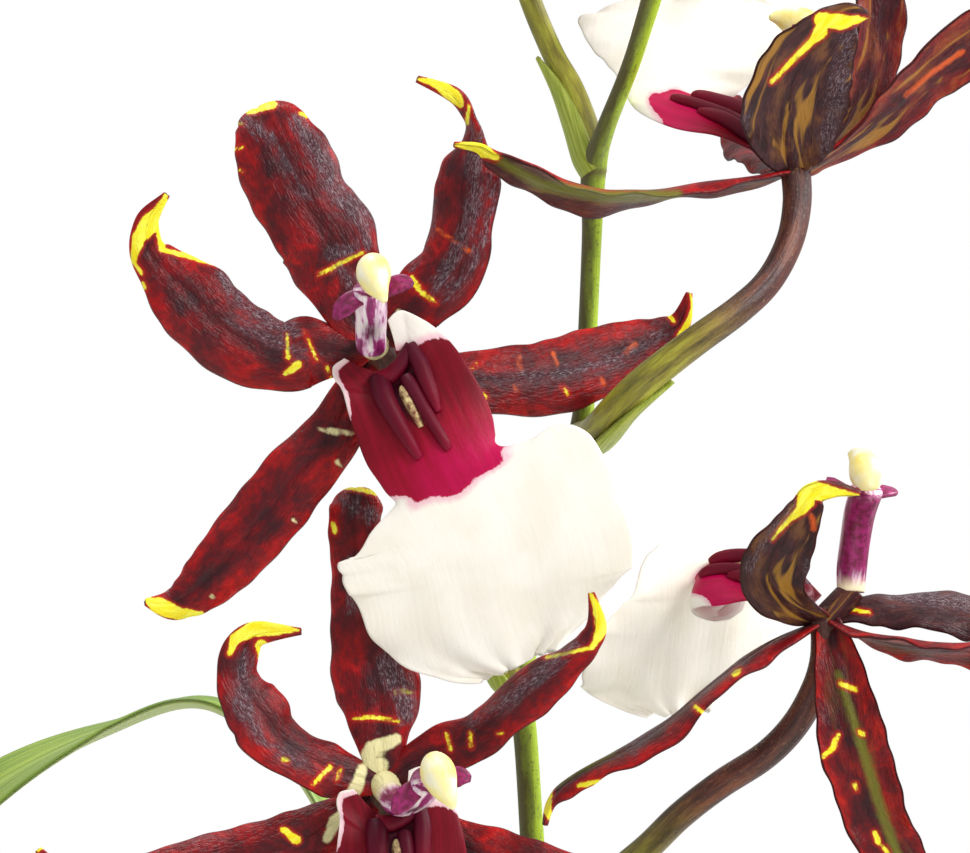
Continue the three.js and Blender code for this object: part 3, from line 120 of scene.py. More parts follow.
# Rows of the blooms, as in the solids: [across, forward, up, half width] and more
TEPALS = {
    "front": {
        "dorsal sepal": {
            "rows": [
                [-0.6, 0.2, 1, 2], [-3.6, 0.6, 4.5, 3.4], [-5.6, 1.2, 10.8, 6.2],
                [-7, 1.6, 15.7, 7.3], [-10.2, 1.6, 20.6, 6.8], [-13.1, 1, 26.2, 7.3],
                [-15.4, 0.2, 31.4, 6.1], [-17.2, -1.6, 35, 4.6], [-17.9, -4, 35.4, 3],
                [-17.4, -6, 33, 0.8],
            ],
            "faces": [
                [0, 0.1, 1, 0], [0.75, -0.1, 1, 0.1], [0.88, -0.3, 0.3, 1], [1, -0.2, -1, 0.8],
            ],
        },
        "left petal": {
            "rows": [
                [-0.8, 0.6, 0, 1.8], [-4.5, 0.8, -1, 3.2], [-9.8, 1.6, -0.8, 5.1],
                [-13.8, 2.2, -1.6, 5.2], [-18.8, 2.8, 0, 5.8], [-24, 3.4, 3.6, 5.9],
                [-27.8, 3.6, 7.6, 5.8], [-31.8, 3.4, 11.6, 3.9], [-33.9, 3.2, 14.4, 2.6],
                [-33.9, 3.8, 18.6, 1.7], [-31, 5, 22.5, 0.4],
            ],
            "faces": [[0, 0, 1, 0.1], [0.6, 0, 1, 0.15], [1, 0.3, 1, 0]],
        },
        "right petal": {
            "rows": [
                [0.8, 0.4, 0.8, 1.8], [3.2, 0.2, 3.4, 3.2], [6.4, 0.4, 6.8, 4.8],
                [10.8, 1.2, 11.7, 5.2], [12.4, 2, 17.5, 5.2], [13.2, 2.6, 23, 5.3],
                [13.7, 2.4, 27.4, 4.3], [14.6, 2, 31, 2.4], [14.2, 2.4, 33.8, 1.5],
                [11.8, 3.4, 37.3, 1.2], [6.4, 5, 39.7, 0.4],
            ],
            "faces": [[0, -0.3, 1, 0], [0.6, -0.5, 0.85, 0], [0.8, -0.9, 0.5, 0], [1, -0.4, 1, 0]],
        },
        "left lateral sepal": {
            "rows": [
                [-0.6, -0.4, -0.8, 1.6], [-3, -0.6, -6.6, 3], [-6.8, 0, -13.8, 4.4],
                [-12.4, 0.8, -20.2, 5], [-16.8, 1.2, -25.8, 5.3], [-21.8, 1.2, -31.5, 4.8],
                [-25.4, 0.6, -35.4, 4.1], [-28.5, -0.4, -37.8, 3.1], [-31, -1, -38.9, 2.1],
                [-34.5, 0, -38.5, 0.4],
            ],
            "faces": [[0, 0, 1, 0.1], [1, 0, 1, 0.2]],
        },
        "right lateral sepal": {
            "rows": [
                [0.6, -0.8, -0.8, 1.6], [5, -1.4, -3.6, 3], [11, -1.6, -5, 4.2],
                [17.4, -3.4, -5.2, 4.8], [24.8, -6, -4.8, 5.5], [30.8, -8.6, -3.2, 5.6],
                [36, -11.2, -1.4, 5.2], [40.5, -13.2, 0.3, 4.1], [44, -14.4, 2, 2.8],
                [46.4, -14.8, 4, 1.6], [47.6, -14.2, 8.2, 0.4],
            ],
            "faces": [[0, 0, 1, 0.2], [1, 0.1, 1, 0.1]],
        },
    },
    "low front": {
        "dorsal sepal": {
            "rows": [
                [-0.2, 0, 1.2, 2], [-0.6, -0.4, 7.5, 4.2], [-0.9, -1, 12.8, 6],
                [-1.9, -1.6, 18, 6.3], [-2.8, -2.4, 24, 5.4], [-3.6, -3.2, 30, 4.6],
                [-4.4, -4, 35.2, 4], [-4.8, -4.6, 39, 3.8], [-4.6, -5.4, 42.4, 3.8],
                [-4.6, -7, 44.2, 2.4], [-4.8, -9, 43.6, 0.6],
            ],
            "faces": [[0, 0, 1, 0], [0.75, -0.1, 1, 0.2], [0.9, 0, 0.3, 1], [1, 0, -0.8, 1]],
        },
        "left petal": {
            "rows": [
                [-0.8, 0.4, 0.4, 1.8], [-4, 0.8, 1.2, 2.8], [-8, 1.8, 2.6, 4], [-12, 3, 4.6, 4.3],
                [-15.8, 4, 7.4, 4.7], [-18.2, 4.4, 10.8, 5], [-20.4, 4.4, 13.6, 4.4],
                [-21.7, 4.2, 17, 3.2], [-21.2, 4, 20.4, 2.7], [-19, 4.2, 22.8, 1.9],
                [-12.4, 5, 23.3, 0.4],
            ],
            "faces": [[0, 0.1, 1, 0.2], [0.3, 0.5, 1, 0.5], [0.6, 0.5, 1, 0.2], [1, 0.2, 1, -0.2]],
        },
        "right petal": {
            "rows": [
                [0.8, 0.4, 0.6, 1.8], [3.6, 0.6, 3, 2.8], [8.2, 1.4, 5.7, 3.6], [13.5, 4.2, 8, 3.9],
                [18, 7.4, 11.8, 4.2], [22.5, 9.8, 15.5, 3.9], [27, 11.4, 18.8, 2.8],
                [30.2, 12, 21.8, 2], [31.4, 12, 24.6, 1.4], [30.8, 12.2, 29.2, 0.4],
            ],
            "faces": [[0, -0.1, 1, 0.3], [0.5, -0.3, 1, 0.6], [1, -0.5, 1, 0]],
        },
        "left lateral sepal": {
            "rows": [
                [-0.6, -0.4, -0.6, 1.6], [-4, -0.6, -3.4, 3], [-8.4, -0.4, -6, 4],
                [-14, 0, -8.8, 4.8], [-21, 0.6, -11, 5.2], [-28.5, 0.8, -13, 5.3],
                [-36, 0.6, -15, 4.8], [-43.5, 0, -15.6, 3.6], [-48.5, -0.4, -14.2, 2.2],
                [-52, 0, -9.6, 0.4],
            ],
            "faces": [[0, 0, 1, 0.2], [1, 0, 1, 0.3]],
        },
        "right lateral sepal": {
            "rows": [
                [0.6, -0.4, -0.8, 1.6], [4.6, -0.6, -4.6, 3], [10.5, -0.4, -9, 4.2],
                [17.2, 0, -11.6, 5], [24.8, 0.4, -14.4, 5.4], [32.2, 0.6, -18, 5.2],
                [39, 0.4, -21.4, 4], [44, -0.2, -23, 2.5], [47.8, -0.4, -19, 0.4],
            ],
            "faces": [[0, 0, 1, 0.2], [1, 0, 1, 0.3]],
        },
    },
    "high back": {
        "left lateral sepal": {
            "rows": [
                [-0.8, 0, 0, 1.8], [-7, 1.6, -1.2, 3.4], [-14.6, 4, -2.1, 4.6], [-22, 7, -3.5, 5.2],
                [-29.6, 10, -3.9, 5.2], [-35.6, 12.4, -2.5, 4.6], [-40.8, 14.2, -0.5, 3.6],
                [-44.9, 15.4, 1.5, 2.3], [-47.6, 16, 3, 1.3], [-51.2, 16.6, 3.3, 0.4],
            ],
            "faces": [
                [0, 0, -0.1, 1], [0.35, 0, -0.15, 1], [0.6, 0.1, -0.42, 1], [1, 0.3, -0.5, 1],
            ],
        },
        "near petal": {
            "rows": [
                [-0.2, 1, 0.2, 1.8], [-0.6, 3.6, 3, 5], [-1, 7, 7.6, 7.4], [-0.2, 10, 12.2, 7.6],
                [2, 12.2, 16.8, 6.5], [4.6, 13.2, 20, 4.6], [7.2, 13.2, 22.3, 2.4],
                [10, 12.4, 22.8, 0.5],
            ],
            "faces": [[0, 0, -0.6, 1], [0.5, 0, -0.9, 0.5], [1, 0, -1, 0.2]],
        },
        "far petal": {
            "rows": [
                [0.6, -0.6, 0.4, 1.8], [5.4, -2.4, 5, 3.8], [9.2, -3.6, 10.8, 5],
                [11.4, -4.2, 17, 5.2], [12.2, -4.2, 24.2, 4.7], [12.4, -3.6, 31, 3],
                [12.8, -2.4, 36.4, 0.4],
            ],
            "faces": [[0, -0.4, -0.6, 1], [0.4, -0.7, -0.8, 0.3], [1, -0.6, -0.9, 0]],
        },
        "dorsal sepal": {
            "rows": [
                [0.8, 0.2, 0.2, 1.8], [6.4, 0.2, 3.4, 3.2], [12.4, 0.8, 8, 4.2], [17.7, 1.4, 13, 5],
                [22.6, 1.8, 17.6, 5.2], [28.4, 1.8, 21.4, 4.6], [33.6, 1.4, 23.8, 2.8],
                [37.5, 1, 26.6, 0.4],
            ],
            "faces": [[0, -0.3, -0.3, 1], [0.5, -0.5, -0.8, 0.4], [1, -0.5, -0.8, 0.3]],
        },
        "far lateral sepal": {
            "rows": [
                [-0.4, -0.8, 0.2, 1.8], [-1.4, -6, 1.4, 3.6], [-2.8, -14, 3, 4.8],
                [-4.2, -22, 5, 5.2], [-5.4, -30, 7.4, 4.8], [-6.4, -37, 10, 3.4],
                [-7, -43, 13.6, 0.4],
            ],
            "faces": [[0, 0, 0.2, 1], [1, 0, 0.4, 1]],
        },
    },
    "low back": {
        "near petal": {
            "rows": [
                [-0.8, 0.8, 0.2, 1.8], [-4.8, 3.4, 2.2, 3.4], [-8, 7, 5.8, 5],
                [-7.4, 10.2, 9.8, 4.7], [-5.4, 12.8, 13.6, 3.6], [-3.8, 14.4, 16.8, 2.5],
                [-2.6, 14.8, 19.2, 1.7], [0.4, 14.6, 19.8, 1.1], [4.2, 14, 19.2, 0.4],
            ],
            "faces": [[0, 0, -0.6, 1], [0.3, 0.4, -0.9, 0.5], [1, 0, -1, 0.2]],
        },
        "left lateral sepal": {
            "rows": [
                [-0.8, 0.2, -0.4, 1.6], [-7.2, 1, -3, 3.2], [-12.4, 1.6, -6.3, 4.2],
                [-18, 2.2, -10.5, 5], [-24, 2.6, -15.6, 5.2], [-30, 2.6, -19.6, 4.8],
                [-35.2, 2.2, -22.2, 3.8], [-39, 1.6, -24.8, 2.4], [-41.4, 1.2, -27.4, 1.4],
                [-42.2, 1, -30.7, 0.4],
            ],
            "faces": [
                [0, -0.2, 0.1, 1], [0.4, -0.4, 0.1, 1], [0.8, -0.6, 0.4, 0.9], [1, -0.8, 0.4, 0.6],
            ],
        },
        "hanging petal": {
            "rows": [
                [0.4, 1, -0.4, 1.8], [1.4, 3.4, -5.4, 3.2], [2.6, 5, -12, 4.4], [3.8, 5.6, -18, 5],
                [5.6, 5.4, -24, 4.9], [7.6, 4.6, -30, 4.6], [10.4, 3.6, -35, 4.1],
                [13.6, 2.8, -40, 3.2], [18.6, 2.6, -48, 0.4],
            ],
            "faces": [[0, 0, -0.7, 0.6], [0.3, 0.1, -1, 0.2], [1, 0.2, -1, 0]],
        },
        "dorsal sepal": {
            "rows": [
                [0.8, -0.2, 0.4, 1.8], [6, -0.6, 2, 3.4], [12, -1.2, 2.3, 4.8], [18, -1.8, 2, 5.3],
                [24, -2.4, 1.3, 5.2], [29.5, -2.8, -0.2, 4.3], [34, -2.8, -2.2, 2.7],
                [38, -2.6, -4.6, 0.4],
            ],
            "faces": [[0, 0, 0.5, 1], [0.5, 0, 0.62, 1], [1, 0.3, 0.6, 1]],
        },
        "right lateral sepal": {
            "rows": [
                [0.8, 0.8, -0.4, 1.6], [6, 4, -2.2, 3.2], [12, 7, -3.4, 4.4], [18.4, 9.2, -3.9, 5],
                [25, 10.6, -4, 4.9], [31.4, 11, -4.8, 3.8], [36, 10.6, -6.6, 2.2],
                [39, 10, -9, 0.4],
            ],
            "faces": [[0, 0, -0.3, 1], [0.5, 0.1, -0.35, 1], [1, 0.4, -0.3, 1]],
        },
    },
}
LIPS = {
    "front": {
        "rows": [
            [1, 3.3, -4.6, 4.2, 5.6, 2.2], [1.4, 3.9, -5.9, 6.6, 6.8, 2.4],
            [1.8, 4.7, -7.4, 8, 4.8, 2.2], [1.9, 5.8, -9, 9.2, 1.2, 0.6],
            [1.95, 7.2, -12.4, 9.7, 0, -1], [1.9, 8.4, -16, 9.7, 0, -1.8],
            [1.9, 9, -19.6, 9, 0, -1.8], [2.2, 9.3, -22.6, 8.8, 0.3, -1.4],
            [2.5, 9.1, -25.6, 14.5, 1.4, -1], [3, 8.6, -29, 20, 3, -0.8],
            [3.1, 7.8, -33.2, 20.8, 2.2, -0.6], [2.5, 6.8, -37.8, 20.8, 1, -0.8],
            [1.4, 5.8, -42.2, 19.6, 0.4, -1], [0.8, 5, -46.2, 16.6, 0.2, -1],
            [0.6, 4.4, -50, 11.6, 0, -0.8], [0.6, 4, -52.4, 6, 0, -0.6],
        ],
        "faces": [[0, 0, 1, 0], [1, 0, 1, 0]],
        "waist": 0.45,
        "tongue": 3,
    },
    "high back": {
        "rows": [
            [-2.6, -5.8, 2, 2.9, 0.5, 1], [-5.4, -5.8, 4.4, 5.4, 0, 1],
            [-9, -6.6, 7.4, 7.6, 0, 0.4], [-13, -8, 9.6, 8, 0, -1],
            [-16.4, -10, 11.2, 7.2, 0, -1.4], [-17.4, -12.6, 12.6, 7.4, 0, -1.2],
            [-16.8, -15.6, 15, 9.6, 0, -1], [-16, -19, 18, 12.4, 0, -0.8],
            [-15, -23.4, 21.4, 16, 0.6, -0.6], [-14, -28, 24.8, 17.6, 0.6, -0.8],
            [-13.4, -32.6, 27.6, 14.4, 0.4, -1], [-13, -36.6, 30, 6, 0, -0.6],
        ],
        "faces": [[0, 0.3, 0.4, 1], [0.4, 0.1, 0.45, 1], [0.6, 0, 0.4, 1], [1, 0, 0.3, 1]],
        "waist": 0.3,
        "tongue": 6,
    },
    "low back": {
        "rows": [
            [-2.2, -4.8, 1.8, 3.2, 0.5, 1], [-5.6, -5.2, 3.8, 5.4, 0, 1],
            [-9.6, -5.6, 6, 7.6, 0, 0.4], [-13.6, -6.2, 7.2, 8.2, 0, -1.2],
            [-17.2, -7.4, 7.2, 7.2, 0, -1.8], [-19, -9.4, 5.8, 7.6, 0, -1.4],
            [-19.8, -11.6, 3.2, 11, 0.6, -1], [-20.4, -13.8, -0.4, 15.4, 1.2, -0.8],
            [-21, -15.8, -4.6, 18, 0.8, -0.6], [-21.4, -17.6, -8.6, 17, 0.4, -0.8],
            [-21.8, -19, -12, 12.4, 0.2, -1], [-22, -20, -14.6, 5, 0, -0.6],
        ],
        "faces": [
            [0, 0, 0.4, 1], [0.35, 0, 0.5, 0.85], [0.5, 0.3, 0.8, 0.5], [0.65, 0.55, 0.8, 0.1],
            [1, 0.5, 0.85, 0],
        ],
        "waist": 0.28,
        "tongue": 6,
    },
}
COLUMN_ROWS = [
    [-0.4, 3.4, 0, 2], [-0.4, 7, 0, 2.2], [-0.4, 11.2, 1.6, 2.2], [-0.3, 15, 4.4, 2.3],
    [-0.4, 18, 8, 2.4],
]
WING_ROWS = [
    [[-1.4, 17.6, 7, 1.3], [-3, 18.2, 6.4, 1.6], [-4.5, 18.6, 5, 1.5], [-5.4, 18.8, 3.5, 0.5]],
    [[1.2, 17.6, 7.6, 1.3], [2.9, 18.2, 8.5, 1.5], [4.6, 18.8, 8.9, 1.4], [5.9, 19.2, 8.6, 0.5]],
]
CAP_ROWS = [
    [-0.1, 17.8, 10.9, 1], [0, 19, 11, 2.2], [0.2, 20.6, 10.3, 2.6], [0.6, 22.2, 8.8, 2.1],
    [1.3, 23.2, 7.3, 1.2], [1.9, 23.6, 6, 0.4],
]
BLOOMS = {
    "bloom_1": {
        "tepals": "low front",
        "lip": "front",
        "centre": [15.5, -30, 378],
        "size": 0.967,
        "lip_turn": [[0.1, -0.99, -0.1], [0, -0.1, 0.99]],
        "column_turn": [[0.34, -0.88, -0.33], [0.1, -0.33, 0.94]],
    },
    "bloom_2": {
        "tepals": "low back",
        "lip": "low back",
        "centre": [79.2, -35, 402.1],
        "size": 0.961,
        "column_foot": [82.2, -35, 402.9],
        "column_turn": [[0.05, 0.1, 1], [0.15, -0.98, 0.1]],
    },
    "bloom_3": {
        "tepals": "front",
        "lip": "front",
        "centre": [14, -28, 441.8],
        "size": 0.969,
        "lip_turn": [[0, -1, 0], [-0.402, 0, 0.916]],
    },
    "bloom_4": {
        "tepals": "high back",
        "lip": "high back",
        "centre": [75.6, -20, 467.3],
        "size": 0.978,
        "column_turn": [[-0.38, 0.3, 0.87], [0.92, 0, 0.4]],
    },
    "bloom_5": {
        "tepals": "front",
        "lip": "front",
        "centre": [30.5, 20, 528],
        "size": 0.94,
        "turn": [[-0.45, 0.1, 0.88], [0.75, 0.5, 0.3]],
    },
    "bloom_6": {
        "tepals": "front",
        "lip": "front",
        "centre": [90.5, 0, 548],
        "size": 0.9,
        "turn": [[0.4, 0.1, 0.9], [-0.7, 0.6, 0.2]],
    },
}

# Fingers and hood of the callus, as rows [share of the lip, place across, radius]; the last is pale
CALLUS_FINGERS = [
    [
        [0.08, -0.6, 1], [0.13, -0.45, 1.3], [0.185, -0.34, 1.3], [0.235, -0.3, 1.1],
        [0.28, -0.27, 0.6],
    ],
    [
        [0.12, -0.1, 1.1], [0.19, -0.08, 1.2], [0.285, -0.12, 1], [0.35, -0.18, 0.9],
        [0.385, -0.22, 0.6],
    ],
    [
        [0.05, 0.43, 1.2], [0.12, 0.39, 1.6], [0.2, 0.38, 1.5], [0.27, 0.33, 1.3],
        [0.33, 0.28, 1.1], [0.375, 0.25, 0.7],
    ],
    [[0.09, -0.62, 0.9], [0.05, -0.3, 1.2], [0.04, 0.1, 1.3], [0.06, 0.43, 1.2]],
    [[0.15, 0.04, 0.5], [0.19, 0.05, 0.9], [0.25, 0.05, 0.8], [0.3, 0.04, 0.4]],
]

# Markings in a bloom's own plane, and strokes of painted sheen, a painted highlight on the tepals:
# each stroke is a chain of across, up and radius, in threes
MARKS_AND_SHEEN = {
    "bloom_3": {
        "dorsal sepal": {
            "yellow": [
                [-8.4, 10.5, 0.21, -5.2, 12.2, 0.33, -1.6, 14, 0.18],
                [-21.3, 33.6, 0.24, -19.8, 33.3, 0.15], [-21.1, 29.4, 0.22, -19.8, 29.7, 0.12],
                [-19.1, 35.1, 0.39, -15.4, 36.2, 0.62], [-11.1, 34.8, 0.27, -10.2, 34.2, 0.15],
                [-20.4, 26.3, 0.15, -19.8, 26, 0.12],
            ],
            "cream": [[-4.8, 5, 0.38, -3.8, 6.8, 0.22]],
            "painted_sheen": [
                [-11.7, 33.5, 1.05, -8.1, 28.1, 1.5, -5.7, 23, 1.65, -1.9, 19.4, 1.8],
                [-1.9, 19.4, 1.35, -1.1, 15.2, 0.9], [-20.8, 34.4, 0.75, -15.6, 31.1, 0.75],
                [-6.6, 13.5, 0.75, -3.4, 14.4, 0.75], [-5.1, 11.3, 0.75, -3.4, 9.5, 0.9],
                [-14.1, 29.3, 0.24, -10.3, 22.1, 0.3],
            ],
        },
        "left petal": {
            "yellow": [
                [
                    -30.9, 22.7, 0.09, -31.9, 20, 0.97, -33.4, 18.2, 1.46, -35.2, 16.1, 0.97, -36.1,
                    12.5, 0.39,
                ],
                [-36.1, 12.5, 0.3, -34.8, 10.7, 0.18],
                [-31.9, 17.6, 0.78, -31.8, 14.3, 0.39],
                [-31.8, 14.3, 0.3, -23.8, 12.2, 0.33],
                [-34.6, 9.2, 0.24, -34.2, 8.3, 0.15],
                [-13.2, 1.8, 0.12, -12.9, -1.9, 0.36],
                [-13.7, -4.6, 0.18, -11.5, -3, 0.62],
                [-10.5, 2.1, 0.12, -8.7, -2.2, 0.21],
                [-7.2, -3.1, 0.15, -6.6, -4.9, 0.24],
            ],
            "painted_sheen": [
                [-22.9, 10.5, 0.75, -20.6, 7.5, 1.35, -16.9, 4.4, 1.2, -12.3, 2.1, 1.05],
                [-21.6, 3.8, 0.45, -18.4, 2.1, 0.75, -13.9, 0.2, 0.6],
                [-12.4, -0.4, 0.6, -10.9, -1.3, 0.75],
            ],
        },
        "right petal": {
            "yellow": [
                [6.5, 39.6, 0.09, 9.3, 39.2, 0.86, 12, 37.1, 0.97, 13, 35.9, 0.39],
                [14.1, 35.7, 0.21, 13.8, 33.2, 0.27], [5.4, 10.1, 0.45, 7, 8, 0.39, 9.2, 6.2, 0.18],
            ],
            "orange": [[9.3, 17.4, 0.12, 14.5, 13.8, 0.21]],
            "cream": [[3.6, 5, 0.38, 5, 3.2, 0.3]],
            "painted_sheen": [
                [14.1, 32.7, 0.45, 15.6, 30.5, 0.9],
                [
                    14.8, 28.1, 1.05, 15.4, 23.3, 1.2, 14.1, 17.9, 1.05, 11.5, 12.8, 0.9, 9.2, 8.3,
                    0.75,
                ],
                [17.4, 25.2, 0.45, 17.7, 20.6, 0.6, 15, 12.2, 0.6],
                [15, 12.2, 0.45, 10.9, 6.9, 0.45],
                [8.4, 21.9, 0.3, 8.1, 16.7, 0.45, 5.2, 11.9, 0.45],
            ],
        },
        "left lateral sepal": {
            "yellow": [
                [-34.4, -37.9, 0.24, -32.5, -39.1, 1.27, -29.5, -40.3, 0.97, -25.9, -40.2, 0.24],
                [-33.8, -35.2, 0.15, -33.1, -36.7, 0.36],
            ],
            "cream": [
                [-8.4, -12.6, 0.24, -6.1, -12.9, 0.54, -3.1, -13.2, 0.24],
                [-5.7, -17.4, 0.39, -5.1, -18.4, 0.21], [-24.4, -37.6, 0.33, -24, -37.9, 0.15],
                [-12.2, -26.1, 0.27, -11.8, -26.5, 0.15],
            ],
        },
        "right lateral sepal": {
            "yellow": [
                [47.7, 8.3, 0.12, 48.3, 5.9, 0.36],
                [48.3, 5.9, 0.39, 47.4, 3.5, 0.39, 46.2, 1.7, 0.45],
                [44.7, 4.7, 0.33, 45.3, 3.8, 0.18], [14.2, -3.7, 0.12, 15.3, -2.8, 0.18],
                [16.1, -7.2, 0.21, 16.6, -7.9, 0.27], [28.1, -6.1, 0.12, 29.1, -7.3, 0.24],
            ],
            "orange": [
                [21.6, -1.6, 0.18, 21.9, -4, 0.18], [26.8, -1, 0.18, 27.3, -2.8, 0.21],
                [21, -6.1, 0.18, 21.3, -7, 0.18], [34.2, -5.1, 0.21, 34.5, -5.7, 0.21],
                [37.8, -1, 0.21, 39.3, 0.2, 0.36],
            ],
            "painted_sheen": [
                [15.8, -4.9, 0.45, 27.8, -4.3, 0.75, 36.8, -1.9, 0.9],
                [36.8, -1.9, 0.75, 43.4, 2, 0.45],
            ],
        },
    },
    "bloom_1": {
        "dorsal sepal": {
            "yellow": [
                [-8.1, 44.4, 0.24, -5, 44.7, 0.42, -0.1, 43.2, 0.18],
                [-7.9, 39.1, 0.33, -7.6, 37.9, 0.3],
                [-4.8, 9.9, 0.15, -1.9, 10.2, 0.33, 2.1, 9.6, 0.21],
                [1.2, 13.9, 0.24, 2.9, 14.1, 0.39, 4.5, 13.5, 0.15],
            ],
            "cream": [
                [-3.8, 1.9, 1.05, -1.9, 5.5, 1.2, 1.6, 6.8, 0.9],
                [-2.9, -0.8, 1.35, -0.8, 2.9, 1.35],
            ],
            "painted_sheen": [
                [-0.1, 18.4, 1.35, 2.5, 14.2, 1.95], [2.5, 14.2, 1.8, 3.4, 10.3, 1.05],
                [-6.3, 42.3, 0.75, -2.2, 40.4, 1.05], [-5.2, 33.8, 0.45, -5, 26.2, 0.6],
            ],
        },
        "left petal": {
            "yellow": [
                [
                    -12.8, 23.4, 0.09, -16.1, 23.6, 0.97, -19.6, 23.6, 1.17, -22.3, 22.1, 0.78,
                    -23.1, 19.9, 0.33,
                ],
                [-18.3, 21, 0.97, -18.3, 18.8, 0.45],
                [-15.1, 4.2, 0.33, -14.4, 4, 0.33],
                [-10.7, 0.3, 0.21, -8.1, 2.9, 0.36],
                [-7.2, 0.8, 0.15, -6.6, 2.5, 0.2],
            ],
            "cream": [[-5.4, -2.5, 1.05, -4, 0.4, 1.05, -3.4, 2.5, 0.75]],
            "painted_sheen": [
                [-20.7, 19.5, 0.6, -21.3, 12.8, 1.05, -18.4, 7, 0.9],
                [-18.4, 7, 0.6, -12.8, 3.8, 0.6],
            ],
        },
        "right petal": {
            "yellow": [
                [30.4, 29.4, 0.12, 32.1, 25.9, 0.86, 32.2, 23.6, 0.78, 30.8, 21.1, 0.36],
                [30.8, 21.1, 0.24, 24.1, 19.5, 0.18], [28.6, 28.6, 0.24, 29.2, 25.9, 0.27],
                [12.8, 8.1, 0.18, 12.9, 6.1, 0.3], [9.2, 7.9, 0.15, 9.8, 5.5, 0.24],
                [16.9, 8.1, 0.18, 17.6, 8.2, 0.15],
            ],
            "painted_sheen": [
                [28.1, 21.8, 0.75, 23.2, 16.9, 1.2], [23.2, 16.9, 1.05, 17.2, 12.2, 0.9],
                [17.2, 12.2, 0.6, 12.8, 9.4, 0.45],
            ],
        },
        "left lateral sepal": {
            "yellow": [
                [-15.3, -6.6, 0.39, -13.3, -8.2, 0.66], [-52, -9.4, 0.45, -48.8, -6.8, 1.56],
            ],
            "cream": [[-8.7, -8.2, 0.6, -7.5, -5.5, 1.05, -5.2, -4, 1.05]],
        },
        "right lateral sepal": {
            "yellow": [[38.2, -22.5, 1.56, 45.8, -17.2, 0.97]],
            "cream": [[3.4, -4.5, 0.6, 5, -6, 0.6]],
        },
    },
    "bloom_2": {
        "near petal": {
            "yellow": [
                [3.9, 18.9, 0.09, -0.6, 19.2, 1.17, -3.9, 19.8, 1.56],
                [-3.9, 18, 1.36, -4.4, 16.8, 0.78, -6.3, 15.3, 0.33, -8.7, 12.3, 0.18],
            ],
            "orange": [[-3, 15.9, 0.21, -2.7, 13.8, 0.24]],
            "painted_sheen": [
                [-6, 17.2, 0.3, -10.2, 11.2, 0.45, -11.7, 7.8, 0.45], [-3, 8.1, 0.9, -1.2, 3, 1.2],
            ],
        },
        "left lateral sepal": {
            "yellow": [
                [-41, -30.6, 0.09, -42.2, -27.6, 0.9, -41.4, -24.6, 0.45],
                [-37.1, -24.6, 0.33, -31.5, -23.2, 0.21], [-19.8, -12.8, 0.36, -18, -14.1, 0.24],
                [-14, -7.9, 0.36, -13.1, -7.2, 0.21],
            ],
            "painted_sheen": [[-12.6, -5.7, 0.45, -20.4, -11.2, 0.6, -29.4, -18.8, 0.6]],
            "olive": [[-41.1, -24.9, 0.45, -38.1, -22.2, 0.9, -32.1, -19.5, 0.45]],
        },
        "hanging petal": {
            "yellow": [
                [1.8, -9.3, 0.33, 4, -10.2, 0.33],
                [-0.9, -20.1, 0.3, 0.6, -18.9, 0.45, 1.5, -16.9, 0.27],
                [4.6, -16.5, 0.3, 5.2, -16.8, 0.3], [4, -24.3, 0.27, 4.2, -25.2, 0.24],
                [7, -31.5, 0.3, 7.5, -33, 0.39], [8.4, -33.9, 0.36, 9, -34.5, 0.3],
                [-2.9, -4.5, 0.21, -3.2, -6.6, 0.24],
            ],
            "olive": [[1.5, -7.8, 0.36, 4.8, -18, 0.66, 7.5, -27, 0.72, 11.8, -39, 0.6]],
        },
        "dorsal sepal": {
            "yellow": [[0.6, 2.1, 0.18, 6.3, 1.2, 0.24]],
            "painted_sheen": [[8.8, 3.3, 0.6, 14.8, 3.6, 1.05, 21.3, 2.4, 1.05]],
        },
        "right lateral sepal": {
            "yellow": [
                [6.3, -0.8, 0.3, 6.9, -1.2, 0.36], [9.6, -1.1, 0.33, 10.2, -1.5, 0.36],
                [13.9, -1.8, 0.39, 14.7, -2.4, 0.3],
            ],
        },
    },
    "bloom_4": {
        "left lateral sepal": {
            "yellow": [[-51, 3.3, 0.12, -47.7, 2.9, 1.05, -45, 1.5, 0.45]],
            "orange": [
                [-42.7, 2.4, 0.15, -42, 2.1, 0.18], [-39.3, 1.4, 0.15, -38.5, 0.9, 0.18],
                [-35.5, -0.6, 0.15, -34.8, -0.9, 0.18],
            ],
            "olive": [[-44.8, 1.2, 0.45, -38.4, -2.4, 0.69, -28.8, -4.2, 0.75, -18, -3.6, 0.51]],
        },
        "near petal": {
            "yellow": [
                [9.9, 22.2, 0.09, 6, 21.6, 1.17, 2.9, 21.9, 0.97],
                [2.9, 20.1, 0.97, 1.5, 18.6, 0.45, -4.2, 12.9, 0.3],
            ],
            "painted_sheen": [
                [-8.7, 9.6, 0.6, -8.7, 5.1, 0.6], [6.9, 19.1, 0.9, 5.4, 10.8, 1.35],
                [5.4, 10.8, 1.2, 3.9, 3.3, 0.9],
            ],
        },
        "dorsal sepal": {"orange": [[16.4, 11.4, 0.21, 20.1, 14.7, 0.24, 24.9, 18, 0.27]]},
    },
}

# How much each tepal shows the brown and the gold net of its outer side
TEPAL_LOOKS = {
    "bloom_2": {
        "near petal": {"gold": 1},
        "left lateral sepal": {"split": 0.05},
        "hanging petal": {"under_outer": 0.1, "gold": 0.1},
        "dorsal sepal": {"top_outer": 1, "gold": 0},
        "right lateral sepal": {"under_outer": 0.1, "gold": 0.1},
    },
    "bloom_4": {
        "near petal": {"gold": 0.9},
        "far petal": {"under_outer": 0.55, "gold": 0.6},
        "dorsal sepal": {"under_outer": 0.35, "gold": 0.8},
        "left lateral sepal": {"under_outer": 0.85, "gold": 0.3},
    },
}

# Keys of the colour markings, and of the painted sheen, which is a painted highlight
MARK_AND_SHEEN_KEYS = ("yellow", "orange", "cream", "olive", "painted_sheen")

